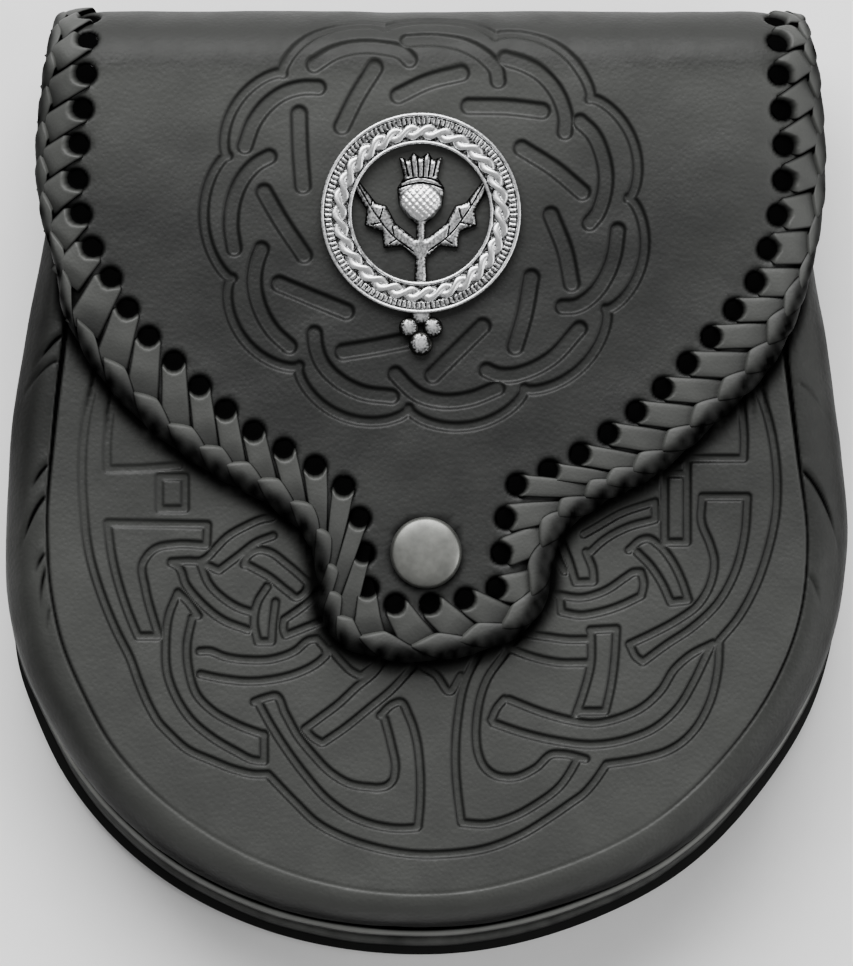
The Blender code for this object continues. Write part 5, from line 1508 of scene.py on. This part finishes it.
def satin_nickel_plate():
    """Nickel plate tumbled to a satin: a soft grey, clouded by handling, with fine scratches."""
    made, tree, shader = surface("satin_nickel_plate")
    shader.inputs["Metallic"].default_value = 1.0
    place = add(tree, "ShaderNodeTexCoord").outputs["Object"]
    handled = add(tree, "ShaderNodeTexNoise", {"Vector": place, "Scale": 1 / (5 * MM), "Detail": 3.0})
    patches = add(tree, "ShaderNodeMapRange", {"Value": handled.outputs["Fac"], "From Min": 0.35, "From Max": 0.65})
    tone = add(tree, "ShaderNodeMix", {
        MIX_FACTOR: patches.outputs["Result"], MIX_FIRST: linear("#6a6b68"), MIX_SECOND: linear("#7f807c")},
        data_type="RGBA")
    tree.links.new(tone.outputs[MIX_RESULT], shader.inputs["Base Color"])
    clouds = add(tree, "ShaderNodeTexNoise", {"Vector": place, "Scale": 1 / (1.2 * MM), "Detail": 4.0})
    gloss = add(tree, "ShaderNodeMapRange", {"Value": clouds.outputs["Fac"], "To Min": 0.40, "To Max": 0.56})
    tree.links.new(gloss.outputs["Result"], shader.inputs["Roughness"])
    bump = add(tree, "ShaderNodeBump", {"Height": clouds.outputs["Fac"], "Strength": 0.25, "Distance": 0.02 * MM})
    tree.links.new(bump.outputs["Normal"], shader.inputs["Normal"])
    return made


def dark_steel():
    """Oxidised steel wire stock: dark and dull, with a slight mottle."""
    made, tree, shader = surface("dark_steel")
    shader.inputs["Metallic"].default_value = 1.0
    shader.inputs["Base Color"].default_value = linear("#6c6c6a")
    place = add(tree, "ShaderNodeTexCoord").outputs["Object"]
    clouds = add(tree, "ShaderNodeTexNoise", {"Vector": place, "Scale": 1 / (0.8 * MM)})
    gloss = add(tree, "ShaderNodeMapRange", {"Value": clouds.outputs["Fac"], "To Min": 0.4, "To Max": 0.6})
    tree.links.new(gloss.outputs["Result"], shader.inputs["Roughness"])
    return made


def antiqued_cast_silver():
    """Silver plate over a casting, blackened and then polished: bright tops and dark hollows."""
    made, tree, shader = surface("antiqued_cast_silver")
    shader.inputs["Metallic"].default_value = 1.0
    raised = add(tree, "ShaderNodeAttribute", attribute_name="raised").outputs["Fac"]
    place = add(tree, "ShaderNodeTexCoord").outputs["Object"]
    clouds = add(tree, "ShaderNodeTexNoise", {"Vector": place, "Scale": 1 / (0.45 * MM), "Detail": 4.0})
    pits = add(tree, "ShaderNodeMapRange", {
        "Value": clouds.outputs["Fac"], "From Min": 0.3, "From Max": 0.7, "To Min": -0.14, "To Max": 0.14})
    wear_and_highlight = add(tree, "ShaderNodeMath", {0: raised, 1: pits.outputs["Result"]}, operation="ADD", use_clamp=True)
    ramp = add(tree, "ShaderNodeValToRGB", {"Fac": wear_and_highlight.outputs[0]})
    ramp.color_ramp.elements[0].position = 0.62
    ramp.color_ramp.elements[0].color = linear("#1c1c1b")
    ramp.color_ramp.elements[1].position = 0.92
    ramp.color_ramp.elements[1].color = linear("#e2e3e4")
    tree.links.new(ramp.outputs["Color"], shader.inputs["Base Color"])
    gloss = add(tree, "ShaderNodeMapRange", {"Value": clouds.outputs["Fac"], "To Min": 0.22, "To Max": 0.42})
    tree.links.new(gloss.outputs["Result"], shader.inputs["Roughness"])
    return made


def pale_paper():
    """The matt white sheet that the object lies on."""
    made, tree, shader = surface("pale_paper")
    place = add(tree, "ShaderNodeTexCoord").outputs["Object"]
    fibre = add(tree, "ShaderNodeTexNoise", {"Vector": place, "Scale": 1 / (6 * MM), "Detail": 4.0})
    tone = add(tree, "ShaderNodeMapRange", {"Value": fibre.outputs["Fac"], "To Min": 0.86, "To Max": 0.9})
    tree.links.new(tone.outputs["Result"], shader.inputs["Base Color"])
    shader.inputs["Roughness"].default_value = 0.9
    return made


# ---------------------------------------------------------------- floor, light and camera

CAMERA_AWAY = 3000.0
ROOM_LIGHT = 0.4
SENSOR = 36.0


def area_light(name, place, target, wide, high, watts):
    """A soft rectangular light that looks from its place at a target, both in mm."""
    light = bpy.data.lights.new(name, "AREA")
    light.shape = "RECTANGLE"
    light.size, light.size_y, light.energy = wide * MM, high * MM, watts
    lamp = bpy.data.objects.new(name, light)
    bpy.context.scene.collection.objects.link(lamp)
    lamp.location = np.array(place) * MM
    aim = np.array(target) - np.array(place)
    lamp.rotation_mode = "QUATERNION"
    from mathutils import Vector
    lamp.rotation_quaternion = Vector(aim).to_track_quat("-Z", "Y")
    return lamp


def set_the_scene():
    """Pale floor, soft light from the top of the photograph, and a long lens straight above the front."""
    half = 1500.0
    corners = np.array([(-half, -half, 0.0), (half, -half, 0.0), (half, half, 0.0), (-half, half, 0.0)])
    mesh = bpy.data.meshes.new("floor")
    mesh.from_pydata((corners * MM).tolist(), [], [(0, 1, 2, 3)])
    mesh.materials.append(pale_paper())
    floor = bpy.data.objects.new("floor", mesh)
    bpy.context.scene.collection.objects.link(floor)
    world = bpy.data.worlds.new("soft_room")
    world.use_nodes = True
    world.node_tree.nodes["Background"].inputs["Color"].default_value = (1.0, 1.0, 1.0, 1.0)
    world.node_tree.nodes["Background"].inputs["Strength"].default_value = ROOM_LIGHT
    bpy.context.scene.world = world
    area_light("top_light", (-200, 1500, 1250), (0, 0, 20), 2000, 1400, 112)
    area_light("side_light", (1500, -300, 900), (0, 0, 20), 1200, 1200, 18)
    camera = bpy.data.cameras.new("camera")
    camera.sensor_width = SENSOR
    camera.lens = SENSOR * CAMERA_AWAY / (PHOTO_HIGH * PIXEL)
    camera.clip_start, camera.clip_end = 0.1, 10.0
    seen = bpy.data.objects.new("camera", camera)
    bpy.context.scene.collection.objects.link(seen)
    seen.location = (0.0, 0.0, (CAMERA_AWAY + FRONT_Z) * MM)
    bpy.context.scene.camera = seen


# ---------------------------------------------------------------- assembly

# Each leather's second colour is the end that painted light and wear mix towards; edge_leather's is bright for the
# painted highlight on the welts' tops.
tooled = vegetable_tanned_leather("tooled_leather", "#111211", "#333432", 0.8, 0.09, 0.50)
plain = vegetable_tanned_leather("plain_leather", "#121312", "#252624", 0.9, 0.06, 0.50)
edging = vegetable_tanned_leather("edge_leather", "#161716", "#7c7d7a", 0.7, 0.04, 0.40)
thong = vegetable_tanned_leather("thong_leather", "#101110", "#343533", 0.6, 0.06, 0.58)

make_front_panel(tooled)
make_seams(edging)
make_gusset(plain)
make_back_panel(plain)
make_flap(tooled)
make_lacing(thong)
for loop_name, loop_x in (("strap_loop_left", -46.0), ("strap_loop_right", 46.0)):
    make_loop(loop_name, loop_x, plain)
make_snap(satin_nickel_plate(), dark_steel())
make_badge(antiqued_cast_silver())
set_the_scene()
